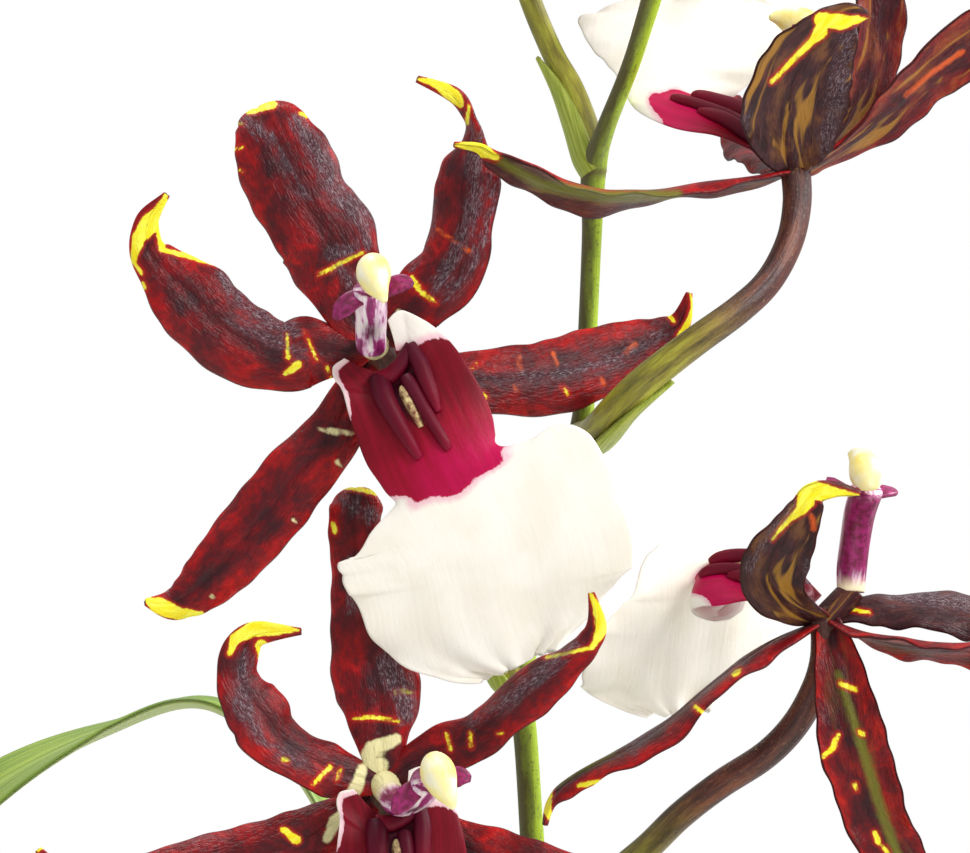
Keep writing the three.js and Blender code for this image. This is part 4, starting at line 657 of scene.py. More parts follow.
# Rows of the rest of the plant, as in the solids: [x, y, z, radius or half width]
STEM_ROWS = [
    [8, 4, 84, 3], [9, 4, 118, 3], [12, 3, 160, 2.8], [17, 2, 210, 2.6], [23, 1, 260, 2.4],
    [29, 0, 300, 2.2], [32.5, 0, 317, 2.35], [36.5, 0, 340, 1.9], [38, 0, 354.5, 2.2],
    [37.2, 0, 366, 1.85], [36, 0, 384, 1.8], [34.8, 0, 391, 2.1], [37.5, 0, 401, 1.6],
    [43.2, 0, 422, 1.5], [44.4, 0, 428.5, 1.9], [45, 0, 436, 1.5], [46, 0, 458, 1.5],
    [46.3, -2, 468.5, 1.9], [48, -7, 474.5, 1.4], [52.4, -14, 486, 1.35], [57.4, -19, 504.5, 1.7],
    [60, -22, 524, 1.2], [61, -23.5, 538, 1.5], [63.4, -26, 556, 1.1], [64.4, -27, 564, 1.3],
    [65.4, -29, 582, 0.9], [65.8, -30, 590, 0.8],
]
PEDICEL_ROWS = {
    "bloom_1": [
        [32.2, 0, 316, 2.1], [27, -4, 325, 2.1], [21.5, -10, 338, 2], [17.5, -17, 352, 2],
        [15.6, -22, 364, 2.1], [15.2, -27, 374, 2.3], [15.5, -30, 378, 2.3],
    ],
    "bloom_2": [
        [38, 0, 354, 2.2], [42.5, -4, 358, 2.2], [47.1, -8, 361.8, 2.1], [53.6, -15, 367.6, 2.1],
        [58.6, -21, 373, 2.1], [64.2, -26, 377.8, 2.1], [70.6, -30, 382.3, 2.1],
        [74.8, -32, 386.8, 2.1], [77.6, -34, 392, 2.1], [79, -35, 396.6, 2.2],
        [79.2, -35, 402.1, 2.3],
    ],
    "bloom_3": [
        [34.8, 0, 390.5, 2.1], [31.5, -3, 398, 2], [27.7, -8, 410, 2], [22.5, -15, 424, 2],
        [18, -22, 435, 2.1], [14, -28, 441.8, 2.3],
    ],
    "bloom_4": [
        [44.4, 0, 428.5, 2.3], [45.4, -8, 428.6, 2.4], [46.8, -18, 429.8, 2.4],
        [49.6, -26, 433.2, 2.3], [53.6, -30, 437, 2.3], [60, -31, 442, 2.2], [66.9, -29, 447, 2.1],
        [71.4, -26, 451.3, 2], [74.5, -23, 457, 2], [75.7, -21, 462.6, 2.1],
        [75.6, -20, 467.3, 2.2],
    ],
    "bloom_5": [
        [46.3, -2, 468, 2], [45.6, 0, 473, 2.1], [43.2, 4, 480.5, 1.9], [40, 8, 487, 1.7],
        [36.2, 13, 497, 1.7], [33, 17, 510, 1.8], [31, 19.5, 521, 2], [30.5, 20, 528, 2.2],
    ],
    "bloom_6": [
        [57.4, -19, 504.5, 1.9], [61, -18, 510, 1.9], [69, -13, 516, 1.8], [79, -8, 524, 1.8],
        [87, -3, 533, 1.9], [90, -0.5, 542, 2.1], [90.5, 0, 548, 2.2],
    ],
}

# Shares of a pedicel where its green foot ends and is full
GREEN_FOOT = {"bloom_2": (0.5, 0.1), "bloom_4": (0.66, 0.3), "bloom_5": (0.75, 0.5)}

BRACTS = {
    "bloom_1": {"reach": 0.32, "half": 3.2, "below": [-0.5, -0.3, -0.5]},
    "bloom_2": {"reach": 0.3, "half": 3.2, "below": [0.3, 0, -1]},
    "bloom_3": {"reach": 0.26, "half": 3, "below": [-0.7, -0.3, -0.5]},
    "bloom_4": {"reach": 0.44, "half": 3.4, "below": [0.5, 0.1, -1]},
    "bloom_5": {"reach": 0.42, "half": 3, "below": [-0.8, -0.5, -0.3]},
    "bloom_6": {"reach": 0.3, "half": 2.8, "below": [0.4, 0, -1]},
}
BUDS = [
    {"foot": [61, -23.5, 538], "along": [-0.5, -0.25, 0.83], "length": 24, "radius": 4.6},
    {"foot": [64.4, -27, 564], "along": [0.55, 0.15, 0.82], "length": 20, "radius": 3.9},
    {"foot": [65.8, -30, 590], "along": [-0.2, 0.05, 0.98], "length": 17, "radius": 3.2},
]
BULBS = [
    {"foot": [-9, -4, 88], "tip": [-11, -6, 166], "radius": 15},
    {"foot": [-24, 19, 88], "tip": [-29, 22, 158], "radius": 14},
    {"foot": [-6, 38, 88], "tip": [-8, 44, 152], "radius": 13},
    {"foot": [20, 27, 88], "tip": [24, 30, 140], "radius": 11.5},
]
LEAVES = [
    {
        "rows": [
            [-11, 45.5, 148, 4], [-10, 48, 205, 9], [-3, 52, 262, 11.5], [6, 55, 316, 12],
            [9, 57, 352, 12], [2.5, 58, 370.5, 12], [-7, 59, 381, 12], [-17, 60, 385.5, 12],
            [-31, 61, 380.8, 12], [-47.4, 61, 372.4, 11], [-66, 60, 358, 7.5], [-84, 58, 338, 0.8],
        ],
        "faces": [
            [0, 1, 0, 0], [0.35, 1, 0, 0.1], [0.55, 0.4, 0, 1], [0.72, 0, 0, 1], [1, 0, -0.6, 0.8],
        ],
    },
    {
        "rows": [
            [-4.5, 42.5, 148, 4], [9, 54, 203, 9], [26, 80, 254, 12.5], [46, 110, 280, 12.5],
            [72, 132, 272, 9], [94, 148, 244, 0.8],
        ],
    },
    {
        "rows": [
            [-14.5, -6, 163, 4], [-26, -12, 220, 9], [-54, -22, 270, 12.5], [-94, -34, 292, 12.5],
            [-134, -44, 276, 9], [-164, -50, 240, 0.8],
        ],
    },
    {
        "rows": [
            [-7.5, -7, 163, 4], [-2, -12, 215, 8], [12, -26, 258, 11.5], [42, -46, 292, 12],
            [82, -64, 304, 11.5], [118, -78, 288, 8], [142, -86, 256, 0.8],
        ],
    },
    {
        "rows": [
            [-32, 21, 155, 4], [-47, 25, 212, 9], [-72, 40, 260, 12.5], [-110, 54, 278, 12.5],
            [-146, 64, 260, 9], [-168, 70, 224, 0.8],
        ],
    },
    {
        "rows": [
            [-25.5, 24.5, 155, 4], [-21, 35, 212, 9], [-26, 63, 260, 12], [-43, 102, 282, 12],
            [-46, 140, 268, 8], [-48, 166, 232, 0.8],
        ],
    },
    {
        "rows": [
            [-4, -17, 92, 6], [0, -27, 136, 9], [10, -50, 176, 11], [22, -80, 196, 10.5],
            [34, -108, 188, 7], [42, -128, 162, 0.8],
        ],
    },
    {
        "rows": [
            [-33, -8, 92, 6], [-46, -12, 134, 9], [-74, -17, 168, 11], [-106, -21, 176, 9],
            [-132, -24, 156, 0.8],
        ],
    },
    {
        "rows": [
            [26.5, 30.5, 137, 4], [38, 33, 188, 8.5], [62, 37, 230, 11.5], [96, 41, 246, 11],
            [128, 44, 230, 7.5], [148, 46, 198, 0.8],
        ],
    },
]
ROOTS = [
    [
        [2, -15, 96, 1.9], [12, -22, 102, 2], [26, -26, 103, 2], [38, -22, 101, 1.9],
        [43, -16, 92, 1.7],
    ],
    [
        [-20, -14, 96, 1.9], [-28, -24, 102, 2], [-30, -36, 103, 1.9], [-22, -45, 100, 1.8],
        [-14, -48, 91, 1.7],
    ],
]


# Curves and blades
def unit(vectors):
    return vectors / np.maximum(np.linalg.norm(vectors, axis=-1, keepdims=True), 1e-12)


def spline(rows, shares):
    """A smooth curve through rows of any length, at shares of its way from 0 to 1."""
    rows = np.asarray(rows, float)
    last = len(rows) - 1
    place = np.asarray(shares, float) * last
    at = np.minimum(place.astype(int), last - 1)
    u = (place - at)[:, None]
    a, b, c, d = (rows[np.clip(at + k, 0, last)] for k in (-1, 0, 1, 2))
    bend = 2 * a - 5 * b + 4 * c - d
    twist = 3 * b - a - 3 * c + d
    return b + 0.5 * ((c - a) * u + bend * u**2 + twist * u**3)


class Placing:
    """A map between a bloom's own axes and the plant's axes."""

    def __init__(self, centre=(0, 0, 0), size=1, turn=None):
        self.centre = np.array(centre, float)
        self.size = size
        self.axes = np.eye(3)
        if turn:
            forward, up = turn
            ahead = unit(np.array(forward, float))
            above = np.array(up, float)
            above = unit(above - ahead * (ahead @ above))
            self.axes = np.array([np.cross(above, ahead), ahead, above])

    def turned(self, vectors):
        return np.asarray(vectors, float) @ self.axes

    def out(self, points):
        return self.centre + self.size * self.turned(points)

    def back(self, points):
        return (points - self.centre) @ self.axes.T / self.size


IN_PLACE = Placing()


class Blade:
    """The middle surface of a thin blade: rows [x, y, z, half width, sweep, rise, skew]."""

    def __init__(self, shape, place=IN_PLACE):
        self.rows = np.array(shape["rows"], float)
        self.faces = np.array(shape["faces"], float)
        self.rise = shape.get("rise", 0)
        self.ruffle = shape.get("ruffle")
        self.margin = shape.get("margin")
        self.place = place

    def centres(self, shares):
        return self.place.out(spline(self.rows[:, :3], np.clip(shares, 0, 1)))

    def frames(self, shares):
        tangent = unit(self.centres(shares + 0.01) - self.centres(shares - 0.01))
        knots, *ways = self.faces.T
        facing = np.stack([np.interp(shares, knots, way) for way in ways], 1)
        facing = unit(self.place.turned(unit(facing)))
        normal = unit(facing - tangent * (facing * tangent).sum(1, keepdims=True))
        return tangent, normal, np.cross(tangent, normal)

    def surface(self, shares, v):
        """Points at each share of the length and each v from -1 to 1 across, as a grid."""
        widths = spline(self.rows[:, 3:], shares)
        half = widths[:, :1]
        sweep = widths[:, 1:2] if widths.shape[1] > 1 else 0
        lift = widths[:, 2:3] if widths.shape[1] > 2 else self.rise * half
        skew = widths[:, 3:4] if widths.shape[1] > 3 else 0
        s, v = np.meshgrid(shares, v, indexing="ij")
        reach = half * v * (1 + (self.margin(s, v) if self.margin else 0)) + skew * v * v
        height = lift * v * v + (self.ruffle(s, v, half) if self.ruffle else 0)
        tangent, normal, side = (a[:, None, :] for a in self.frames(shares))
        points = self.centres(shares)[:, None, :] + side * reach[..., None]
        points = points - tangent * (sweep * v * v)[..., None] + normal * height[..., None]
        return points, s, v, half * v

    def length_at(self, shares):
        steps = np.linalg.norm(np.diff(self.centres(shares), axis=0), axis=1)
        return np.concatenate([[0], np.cumsum(steps)])


def steps(kind, fineness=1):
    return [round(count * fineness) for count in STEPS[kind]]


def blade_mesh(blade, along, across, thickness):
    """Points, faces and coordinates of a closed thin blade with rounded margins."""
    shares = np.linspace(0, 1, along + 1)
    spread = np.linspace(-1, 1, across + 1)
    grid, s, v, reach = blade.surface(shares, 0.5 * spread + 0.5 * np.sin(spread * math.pi / 2))
    normal = np.cross(np.gradient(grid, axis=0), np.gradient(grid, axis=1))
    facing = blade.frames(shares)[1][:, None, :]
    normal = unit(normal * np.sign((normal * facing).sum(2, keepdims=True)))
    depth = 0.5 * thickness * np.sqrt(np.clip(1 - np.abs(v) ** 8, 0, 1))[..., None]
    upper = (grid + normal * depth).reshape(-1, 3)
    lower = (grid - normal * depth)[:, 1:-1].reshape(-1, 3)
    top = np.arange((along + 1) * (across + 1)).reshape(along + 1, across + 1)
    under = top.copy()
    under[:, 1:-1] = len(upper) + np.arange(len(lower)).reshape(along + 1, across - 1)
    upside = np.stack([top[:-1, :-1], top[:-1, 1:], top[1:, 1:], top[1:, :-1]], -1)
    underside = np.stack([under[:-1, :-1], under[1:, :-1], under[1:, 1:], under[:-1, 1:]], -1)
    faces = [*upside.reshape(-1, 4).tolist(), *underside.reshape(-1, 4).tolist()]
    for row, flip in ((0, 1), (along, -1)):
        for j in range(across):
            ring = [top[row, j], under[row, j], under[row, j + 1], top[row, j + 1]][::flip]
            faces.append(list(dict.fromkeys(int(n) for n in ring)))
    run = np.broadcast_to(blade.length_at(shares)[:, None], s.shape)

    def both(grid):
        return np.concatenate([grid.reshape(-1), grid[:, 1:-1].reshape(-1)])

    under = np.concatenate([np.zeros(len(upper)), np.ones(len(lower))])
    flat = np.stack([both(run), both(reach), UNDERSIDE_SHIFT * under], 1)
    where = {"along": both(s), "across": both(v), "under": under, "flat": flat}
    return np.concatenate([upper, lower]), faces, where


def ring_faces(count, sides):
    """Faces between rings of points, closed by the two points that follow the last ring."""
    at = np.arange(count * sides).reshape(count, sides)
    after = np.roll(at, -1, axis=1)
    faces = np.stack([at[:-1], after[:-1], after[1:], at[1:]], -1).reshape(-1, 4).tolist()
    start, end = count * sides, count * sides + 1
    faces += [[start, int(q), int(p)] for p, q in zip(at[0], after[0])]
    faces += [[end, int(p), int(q)] for p, q in zip(at[-1], after[-1])]
    return faces


def loft_mesh(rows, along, sides, place=IN_PLACE, reference=(0, 1, 0), outline=None):
    """A closed round body along rows [x, y, z, radius], with an outline factor for each angle."""
    rows = np.array(rows, float)
    shares = np.linspace(0, 1, along + 1)

    def centres_at(at):
        return place.out(spline(rows[:, :3], np.clip(at, 0, 1)))

    centres = centres_at(shares)
    tangents = unit(centres_at(shares + 0.01) - centres_at(shares - 0.01))
    radii = np.maximum(0.25, spline(rows[:, 3:4], shares)[:, 0])
    angles = np.linspace(0, 2 * math.pi, sides, endpoint=False)
    normal = unit(place.turned(reference))
    rings = []
    for share, centre, tangent, radius in zip(shares, centres, tangents, radii):
        normal = unit(normal - tangent * (normal @ tangent))
        side = np.cross(tangent, normal)
        reach = radius * (outline(angles, share) if outline else np.ones(sides))
        outwards = np.outer(np.cos(angles), normal) + np.outer(np.sin(angles), side)
        rings.append(centre + reach[:, None] * outwards)
    points = np.concatenate([*rings, centres[:1], centres[-1:]])
    run = np.concatenate([[0], np.cumsum(np.linalg.norm(np.diff(centres, axis=0), axis=1))])
    around = np.tile(angles, along + 1)
    girth = np.repeat(radii, sides)
    flat = np.stack([np.repeat(run, sides), girth * np.cos(around), girth * np.sin(around)], 1)
    where = {
        "along": np.array([*np.repeat(shares, sides), 0, 1]),
        "angle": np.array([*around, 0, 0]),
        "flat": np.array([*flat, (0, 0, 0), (run[-1], 0, 0)]),
    }
    return points, ring_faces(along + 1, sides), where


def joined(*meshes):
    """Several meshes as one, with their coordinates."""
    points, faces, where = [], [], {}
    count = 0
    for more_points, more_faces, more_where in meshes:
        points.append(more_points)
        faces += [[n + count for n in face] for face in more_faces]
        count += len(more_points)
        for key, values in more_where.items():
            where.setdefault(key, []).append(values)
    where = {key: np.concatenate(values) for key, values in where.items()}
    return np.concatenate(points), faces, where


def linked(name, data):
    """A new object in the scene."""
    thing = bpy.data.objects.new(name, data)
    bpy.context.scene.collection.objects.link(thing)
    return thing


def add_piece(name, mesh_parts, paint, slot, *nodes):
    """A smooth piece on the plant, with per-point numbers for its material."""
    points, faces, where = mesh_parts
    mesh = bpy.data.meshes.new(name)
    mesh.from_pydata((points * MM).tolist(), [], faces)
    for key, values in {"flat": where["flat"], **paint}.items():
        kind, field = ("FLOAT_VECTOR", "vector") if values.ndim == 2 else ("FLOAT", "value")
        layer = mesh.attributes.new(key, kind, "POINT")
        layer.data.foreach_set(field, np.ascontiguousarray(values, np.float32).ravel())
    mesh.polygons.foreach_set("use_smooth", [True] * len(mesh.polygons))
    mesh.materials.append(MATERIALS[slot])
    piece = linked(name, mesh)
    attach(piece, "root")
    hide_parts(*nodes)
    return piece


def add_joined(name, parts, keys, slot, *nodes):
    """A piece made of several meshes that share some numbers."""
    alike = []
    for points, faces, where in parts:
        alike.append((points, faces, {key: where[key] for key in ("flat", *keys)}))
    whole = joined(*alike)
    add_piece(name, whole, {key: whole[2][key] for key in keys}, slot, *nodes)


def stroke_gap(points, strokes):
    """Distance in the plane from each point to the nearest of some tapered strokes."""
    best = np.full(len(points), FAR_FROM_MARKS)
    for stroke in strokes:
        knots = np.reshape(stroke, (-1, 3))
        for (x0, z0, r0), (x1, z1, r1) in zip(knots, knots[1:]):
            way = np.array((x1 - x0, z1 - z0))
            share = np.clip((points - (x0, z0)) @ way / (way @ way + 1e-9), 0, 1)
            gap = np.linalg.norm(points - (x0, z0) - share[:, None] * way, axis=1)
            best = np.minimum(best, gap - r0 - (r1 - r0) * share)
    return best


def smooth_step(values, start, end):
    u = np.clip((values - start) / (end - start), 0, 1)
    return u * u * (3 - 2 * u)


# Materials
def linear(*tone):
    """A colour given from 0 to 255 on each side, as Blender's linear numbers."""
    return [c / 3294.6 if c <= 10 else ((c / 255 + 0.055) / 1.055) ** 2.4 for c in tone]


class Paint:
    """A procedural material, built by short calls that add nodes and give their outputs.

    Colours run from 0 to 255. Noises lie on the piece's flat coordinates, in cycles per millimetre.
    """

    def __init__(self, name, roughness, specular):
        self.material = bpy.data.materials.new(name)
        self.material.use_nodes = True
        self.tree = self.material.node_tree
        self.shader = self.tree.nodes["Principled BSDF"]
        self.feed(self.shader.inputs["Roughness"], roughness)
        self.feed(self.shader.inputs["Specular IOR Level"], specular)
        self.skin = None

    def feed(self, socket, value):
        if isinstance(value, bpy.types.NodeSocket):
            self.tree.links.new(value, socket)
        elif socket.type == "RGBA":
            socket.default_value = (*linear(*value), 1)
        else:
            socket.default_value = value

    def node(self, kind, inputs, output=0, **settings):
        node = self.tree.nodes.new(kind)
        for key, value in settings.items():
            setattr(node, key, value)
        for key, value in inputs.items():
            self.feed(node.inputs[key], value)
        return node.outputs[output]

    def number(self, name):
        return self.node("ShaderNodeAttribute", {}, "Fac", attribute_name=name)

    def math(self, operation, a, b=0.0, c=0.0):
        return self.node("ShaderNodeMath", {0: a, 1: b, 2: c}, operation=operation)

    def absolute(self, value):
        return self.math("ABSOLUTE", value)

    def times(self, a, b):
        return self.math("MULTIPLY", a, b)

    def weigh(self, a, share, b):
        """A share of a, and b on top."""
        return self.math("MULTIPLY_ADD", a, share, b)

    def stray(self, noise, reach, value):
        """A value that a noise moves to either side."""
        return self.weigh(self.math("SUBTRACT", noise, 0.5), reach, value)

    def noise(self, scales, detail=3, roughness=0.5, distortion=0.0):
        flat = self.node("ShaderNodeAttribute", {}, "Vector", attribute_name="flat")
        place = self.node("ShaderNodeVectorMath", {0: flat, 1: scales}, operation="MULTIPLY")
        inputs = {"Vector": place, "Scale": 1.0, "Detail": detail}
        inputs.update(Roughness=roughness, Distortion=distortion)
        return self.node("ShaderNodeTexNoise", inputs)

    def step(self, value, start, end):
        """From 0 at start to 1 at end, smoothly."""
        low, high = (0.0, 1.0) if start < end else (1.0, 0.0)
        inputs = {0: value, 1: min(start, end), 2: max(start, end), 3: low, 4: high}
        return self.node("ShaderNodeMapRange", inputs, interpolation_type="SMOOTHSTEP")

    def mix(self, factor, a, b):
        return self.node("ShaderNodeMix", {0: factor, 6: a, 7: b}, 2, data_type="RGBA")

    def tint(self, factor, tone, most=1):
        """Lays a tone over the skin, where the factor asks for it."""
        factor = factor if most == 1 else self.times(factor, most)
        self.skin = self.mix(factor, self.skin, tone)

    def ramp(self, factor, *stops):
        """A colour along stops of [position, red, green, blue]."""
        node = self.tree.nodes.new("ShaderNodeValToRGB")
        self.feed(node.inputs[0], factor)
        elements = node.color_ramp.elements
        while len(elements) < len(stops):
            elements.new(0.5)
        for element, (position, *tone) in zip(elements, stops):
            element.position = position
            element.color = (*linear(*tone), 1)
        return node.outputs[0]

    def finish(self, relief, depth):
        """Joins the skin and a relief of a depth in millimetres to the shader."""
        inputs = {"Strength": 1.0, "Distance": depth * MM, "Height": relief}
        bump = self.node("ShaderNodeBump", inputs)
        self.feed(self.shader.inputs["Base Color"], self.skin)
        self.feed(self.shader.inputs["Normal"], bump)
        return self.material


def tepal_material():
    paint = Paint("tepal_skin", 0.38, 0.25)
    patches = paint.noise((0.16, 0.24, 1), 4, 0.6, 0.4)
    speckle = paint.noise((0.7, 1.1, 1), 3, 0.6, 0.3)
    fibres = paint.noise((0.9, 3.8, 1), 2)
    wrinkles = paint.noise((0.32, 1.3, 1), 3, 0.55, 0.4)
    crinkles = paint.noise((1.3, 4.4, 1), 4, 0.7, 0.9)
    net = paint.noise((0.07, 0.42, 1), 2, 0.5, 1.1)
    aside = paint.absolute(paint.number("across"))
    gold = paint.number("gold")
    warm = paint.weigh(paint.math("POWER", aside, 4), 0.12, paint.times(patches, 0.75))
    warm = paint.weigh(paint.number("dark"), -0.09, paint.weigh(speckle, 0.25, warm))
    paint.skin = paint.ramp(
        warm,
        (0.34, 56, 18, 24),
        (0.45, 86, 12, 20),
        (0.55, 122, 8, 16),
        (0.64, 164, 8, 12),
        (0.76, 212, 30, 16),
    )
    brown = paint.weigh(wrinkles, 0.5, paint.times(patches, 0.5))
    outer = paint.ramp(brown, (0.38, 40, 18, 22), (0.52, 68, 32, 34), (0.66, 96, 52, 44))
    paint.tint(paint.number("outer"), outer)
    paint.tint(paint.times(paint.step(patches, 0.5, 0.68), gold), (128, 84, 32), 0.5)
    paint.tint(paint.times(paint.step(net, 0.56, 0.68), gold), (180, 128, 44), 0.8)
    paint.tint(paint.step(aside, 0.93, 0.985), (48, 8, 14), 0.8)
    lemon = paint.mix(paint.step(wrinkles, 0.35, 0.65), (252, 230, 24), (255, 250, 80))
    for mark, far, near, tone, most in (
        ("olive", 0.6, -0.5, (112, 112, 34), 0.85),
        ("yellow", 0.7, 0.05, (196, 34, 14), 0.6),
        ("orange", 0.4, -0.2, (232, 96, 34), 0.8),
        ("yellow", 0.16, -0.12, lemon, 1),
        ("cream", 0.2, -0.3, (236, 228, 170), 1),
    ):
        gap = paint.stray(speckle, 0.7, paint.number(mark))
        paint.tint(paint.step(gap, far, near), tone, most)
    # Painted highlight: along the sheen strokes the skin is greyed towards purple and flecked with
    # pale grey-lilac, standing in for gloss on the crinkles; the crinkle bump there is real relief
    painted_sheen = paint.step(paint.stray(wrinkles, 3.2, paint.number("painted_sheen")), 0.9, -0.9)
    paint.tint(painted_sheen, (70, 42, 52), 0.65)
    painted_glints = paint.times(painted_sheen, paint.step(crinkles, 0.46, 0.66))
    paint.tint(painted_glints, (168, 150, 158), 0.7)
    relief = paint.weigh(fibres, 0.55, paint.weigh(speckle, 0.25, wrinkles))
    return paint.finish(paint.weigh(painted_sheen, crinkles, relief), 0.3)


def lip_material():
    paint = Paint("lip_skin", 0.5, 0.2)
    cloud = paint.noise((0.12, 0.12, 1))
    grain = paint.noise((1.1, 1.6, 1), 3, 0.6)
    fibres = paint.noise((0.08, 1.1, 1))
    paint.skin = paint.mix(paint.step(cloud, 0.3, 0.7), (243, 236, 222), (250, 245, 235))
    paint.tint(paint.step(fibres, 0.5, 0.8), (232, 220, 200), 0.12)
    depth = paint.weigh(fibres, 0.3, paint.times(cloud, 0.25))
    depth = paint.weigh(paint.number("bright"), 0.45, depth)
    crimson = paint.ramp(depth, (0.2, 96, 0, 18), (0.42, 146, 0, 34), (0.7, 190, 0, 76))
    crimson = paint.mix(paint.number("callus"), crimson, (74, 4, 30))
    gap = paint.stray(grain, 0.9, paint.number("red_gap"))
    paint.tint(paint.step(gap, 1.3, 0.1), (232, 150, 180), 0.6)
    paint.tint(paint.step(gap, 0.12, -0.12), crimson)
    spot = paint.weigh(grain, 0.8, paint.number("spot"))
    paint.tint(paint.step(spot, 0.6, 0.2), (246, 226, 160))
    return paint.finish(paint.weigh(grain, 0.6, fibres), 0.07)


def column_material():
    paint = Paint("column_skin", 0.42, 0.45)
    streaks = paint.noise((0.14, 0.75, 0.75), 3, 0.55, 0.3)
    grain = paint.noise((0.9, 1.3, 1.3))
    paint.skin = paint.ramp(
        paint.weigh(grain, 0.15, paint.math("SUBTRACT", streaks, 0.06)),
        (0.38, 244, 232, 232),
        (0.47, 226, 188, 214),
        (0.53, 158, 44, 116),
        (0.68, 104, 10, 68),
    )
    wing = paint.mix(paint.step(grain, 0.35, 0.7), (112, 8, 60), (160, 30, 108))
    paint.tint(paint.number("wing"), wing)
    # Painted shade: the column's cavity is darkened to deep maroon
    paint.tint(paint.number("hollow"), (58, 6, 26))
    paint.tint(paint.number("pale"), (242, 230, 190))
    return paint.finish(paint.weigh(grain, 0.5, streaks), 0.15)


def cap_material():
    paint = Paint("anther_cap_skin", 0.4, 0.4)
    cloud = paint.noise((0.35, 0.35, 0.35))
    paint.skin = paint.ramp(cloud, (0.3, 250, 226, 112), (0.5, 253, 240, 168), (0.7, 255, 250, 222))
    return paint.finish(paint.noise((1.6, 1.6, 1.6), 2), 0.06)


def stem_material():
    paint = Paint("stem_skin", 0.45, 0.4)
    blotch = paint.noise((0.16, 0.8, 0.8), 4, 0.65)
    dots = paint.noise((1.5, 2.2, 2.2), 3, 0.6)
    fibres = paint.noise((0.12, 3.4, 3.4), 3, 0.55)
    # Painted light: the stem is lime on its +X side and olive on the other, as if lit from that
    # side
    lit = paint.stray(blotch, 0.9, paint.number("lit"))
    paint.skin = paint.ramp(lit, (0.25, 88, 86, 40), (0.5, 122, 136, 44), (0.8, 168, 196, 44))
    paint.tint(paint.step(dots, 0.56, 0.66), (84, 58, 34), 0.55)
    paint.tint(paint.number("ring"), (92, 76, 40))
    bract = paint.mix(paint.step(fibres, 0.35, 0.7), (142, 160, 44), (188, 198, 84))
    paint.tint(paint.number("bract"), bract)
    return paint.finish(paint.weigh(dots, 0.3, fibres), 0.12)


def pedicel_material():
    paint = Paint("pedicel_skin", 0.42, 0.45)
    blotch = paint.noise((0.1, 0.7, 0.7), 4, 0.65)
    dots = paint.noise((1.7, 2.6, 2.6), 2)
    fibres = paint.noise((0.16, 3, 3), 3, 0.6)
    paint.skin = paint.ramp(blotch, (0.36, 54, 24, 22), (0.52, 84, 40, 32), (0.66, 122, 66, 44))
    green = paint.ramp(blotch, (0.36, 108, 104, 40), (0.52, 148, 142, 44), (0.66, 176, 178, 54))
    paint.tint(paint.times(paint.number("green"), paint.weigh(blotch, 1.4, 0.3)), green)
    paint.tint(paint.step(dots, 0.62, 0.72), (150, 122, 84), 0.4)
    return paint.finish(paint.weigh(dots, 0.4, fibres), 0.12)


def leaf_material():
    paint = Paint("leaf_skin", 0.4, 0.45)
    veins = paint.noise((0.02, 1.9, 1), 3, 0.6)
    cloud = paint.noise((0.03, 0.12, 1), 3, 0.6)
    cells = paint.noise((1.2, 2.4, 1), 2)
    green = paint.weigh(veins, 0.5, paint.times(cloud, 0.5))
    paint.skin = paint.ramp(green, (0.36, 82, 112, 26), (0.5, 118, 148, 40), (0.66, 168, 190, 70))
    rib = paint.step(paint.absolute(paint.number("across")), 0.09, 0.02)
    paint.tint(rib, (164, 190, 90), 0.6)
    paint.tint(paint.number("under"), (188, 200, 96), 0.6)
    along = paint.number("along")
    paint.tint(paint.step(along, 0.1, 0), (176, 186, 104))
    paint.tint(paint.step(along, 0.975, 1), (122, 88, 44))
    return paint.finish(paint.weigh(cells, 0.25, veins), 0.2)


def bulb_material():
    paint = Paint("pseudobulb_skin", 0.42, 0.45)
    cloud = paint.noise((0.06, 0.12, 0.12), 4, 0.6)
    fibres = paint.noise((0.06, 1.6, 1.6), 3, 0.6)
    green = paint.weigh(cloud, 0.6, paint.times(fibres, 0.4))
    paint.skin = paint.ramp(green, (0.38, 84, 106, 36), (0.52, 122, 142, 54), (0.66, 158, 168, 82))
    dry = paint.step(paint.weigh(fibres, 0.3, paint.number("along")), 0.42, 0.3)
    paint.tint(dry, (150, 118, 74), 0.85)
    return paint.finish(fibres, 0.25)


def root_material():
    paint = Paint("root_skin", 0.75, 0.25)
    cloud = paint.noise((0.3, 0.4, 0.4), 4, 0.65)
    paint.skin = paint.ramp(
        cloud, (0.35, 128, 138, 104), (0.52, 182, 184, 162), (0.7, 214, 212, 196)
    )
    paint.tint(paint.step(paint.number("along"), 0.12, 0), (112, 138, 62))
    return paint.finish(cloud, 0.3)


def bark_material():
    paint = Paint("bark_chips_skin", 0.88, 0.2)
    grain = paint.noise((0.12, 0.9, 0.9), 5, 0.65, 0.4)
    cloud = paint.noise((0.1, 0.1, 0.1), 3, 0.6)
    paint.skin = paint.ramp(
        paint.weigh(grain, 0.55, paint.times(cloud, 0.45)),
        (0.34, 48, 30, 20),
        (0.46, 86, 54, 34),
        (0.56, 122, 80, 50),
        (0.7, 158, 116, 78),
    )
    # Painted shade: the bed and the lower parts of the chips are darkened, as if in shade between
    # the chips
    paint.tint(paint.number("deep"), (30, 20, 14), 0.75)
    return paint.finish(grain, 0.8)


def pot_material():
    paint = Paint("terracotta_skin", 0.85, 0.25)
    cloud = paint.noise((0.03, 0.03, 0.03), 5, 0.65, 0.3)
    grain = paint.noise((0.9, 0.9, 0.9), 4, 0.6)
    throw = paint.noise((0.004, 0.004, 0.55))
    clay = paint.weigh(cloud, 0.7, paint.times(grain, 0.3))
    paint.skin = paint.ramp(clay, (0.36, 150, 78, 50), (0.52, 180, 98, 64), (0.68, 202, 130, 92))
    paint.tint(paint.step(cloud, 0.56, 0.72), (216, 186, 160), 0.4)
    return paint.finish(paint.weigh(throw, 1.5, grain), 0.35)


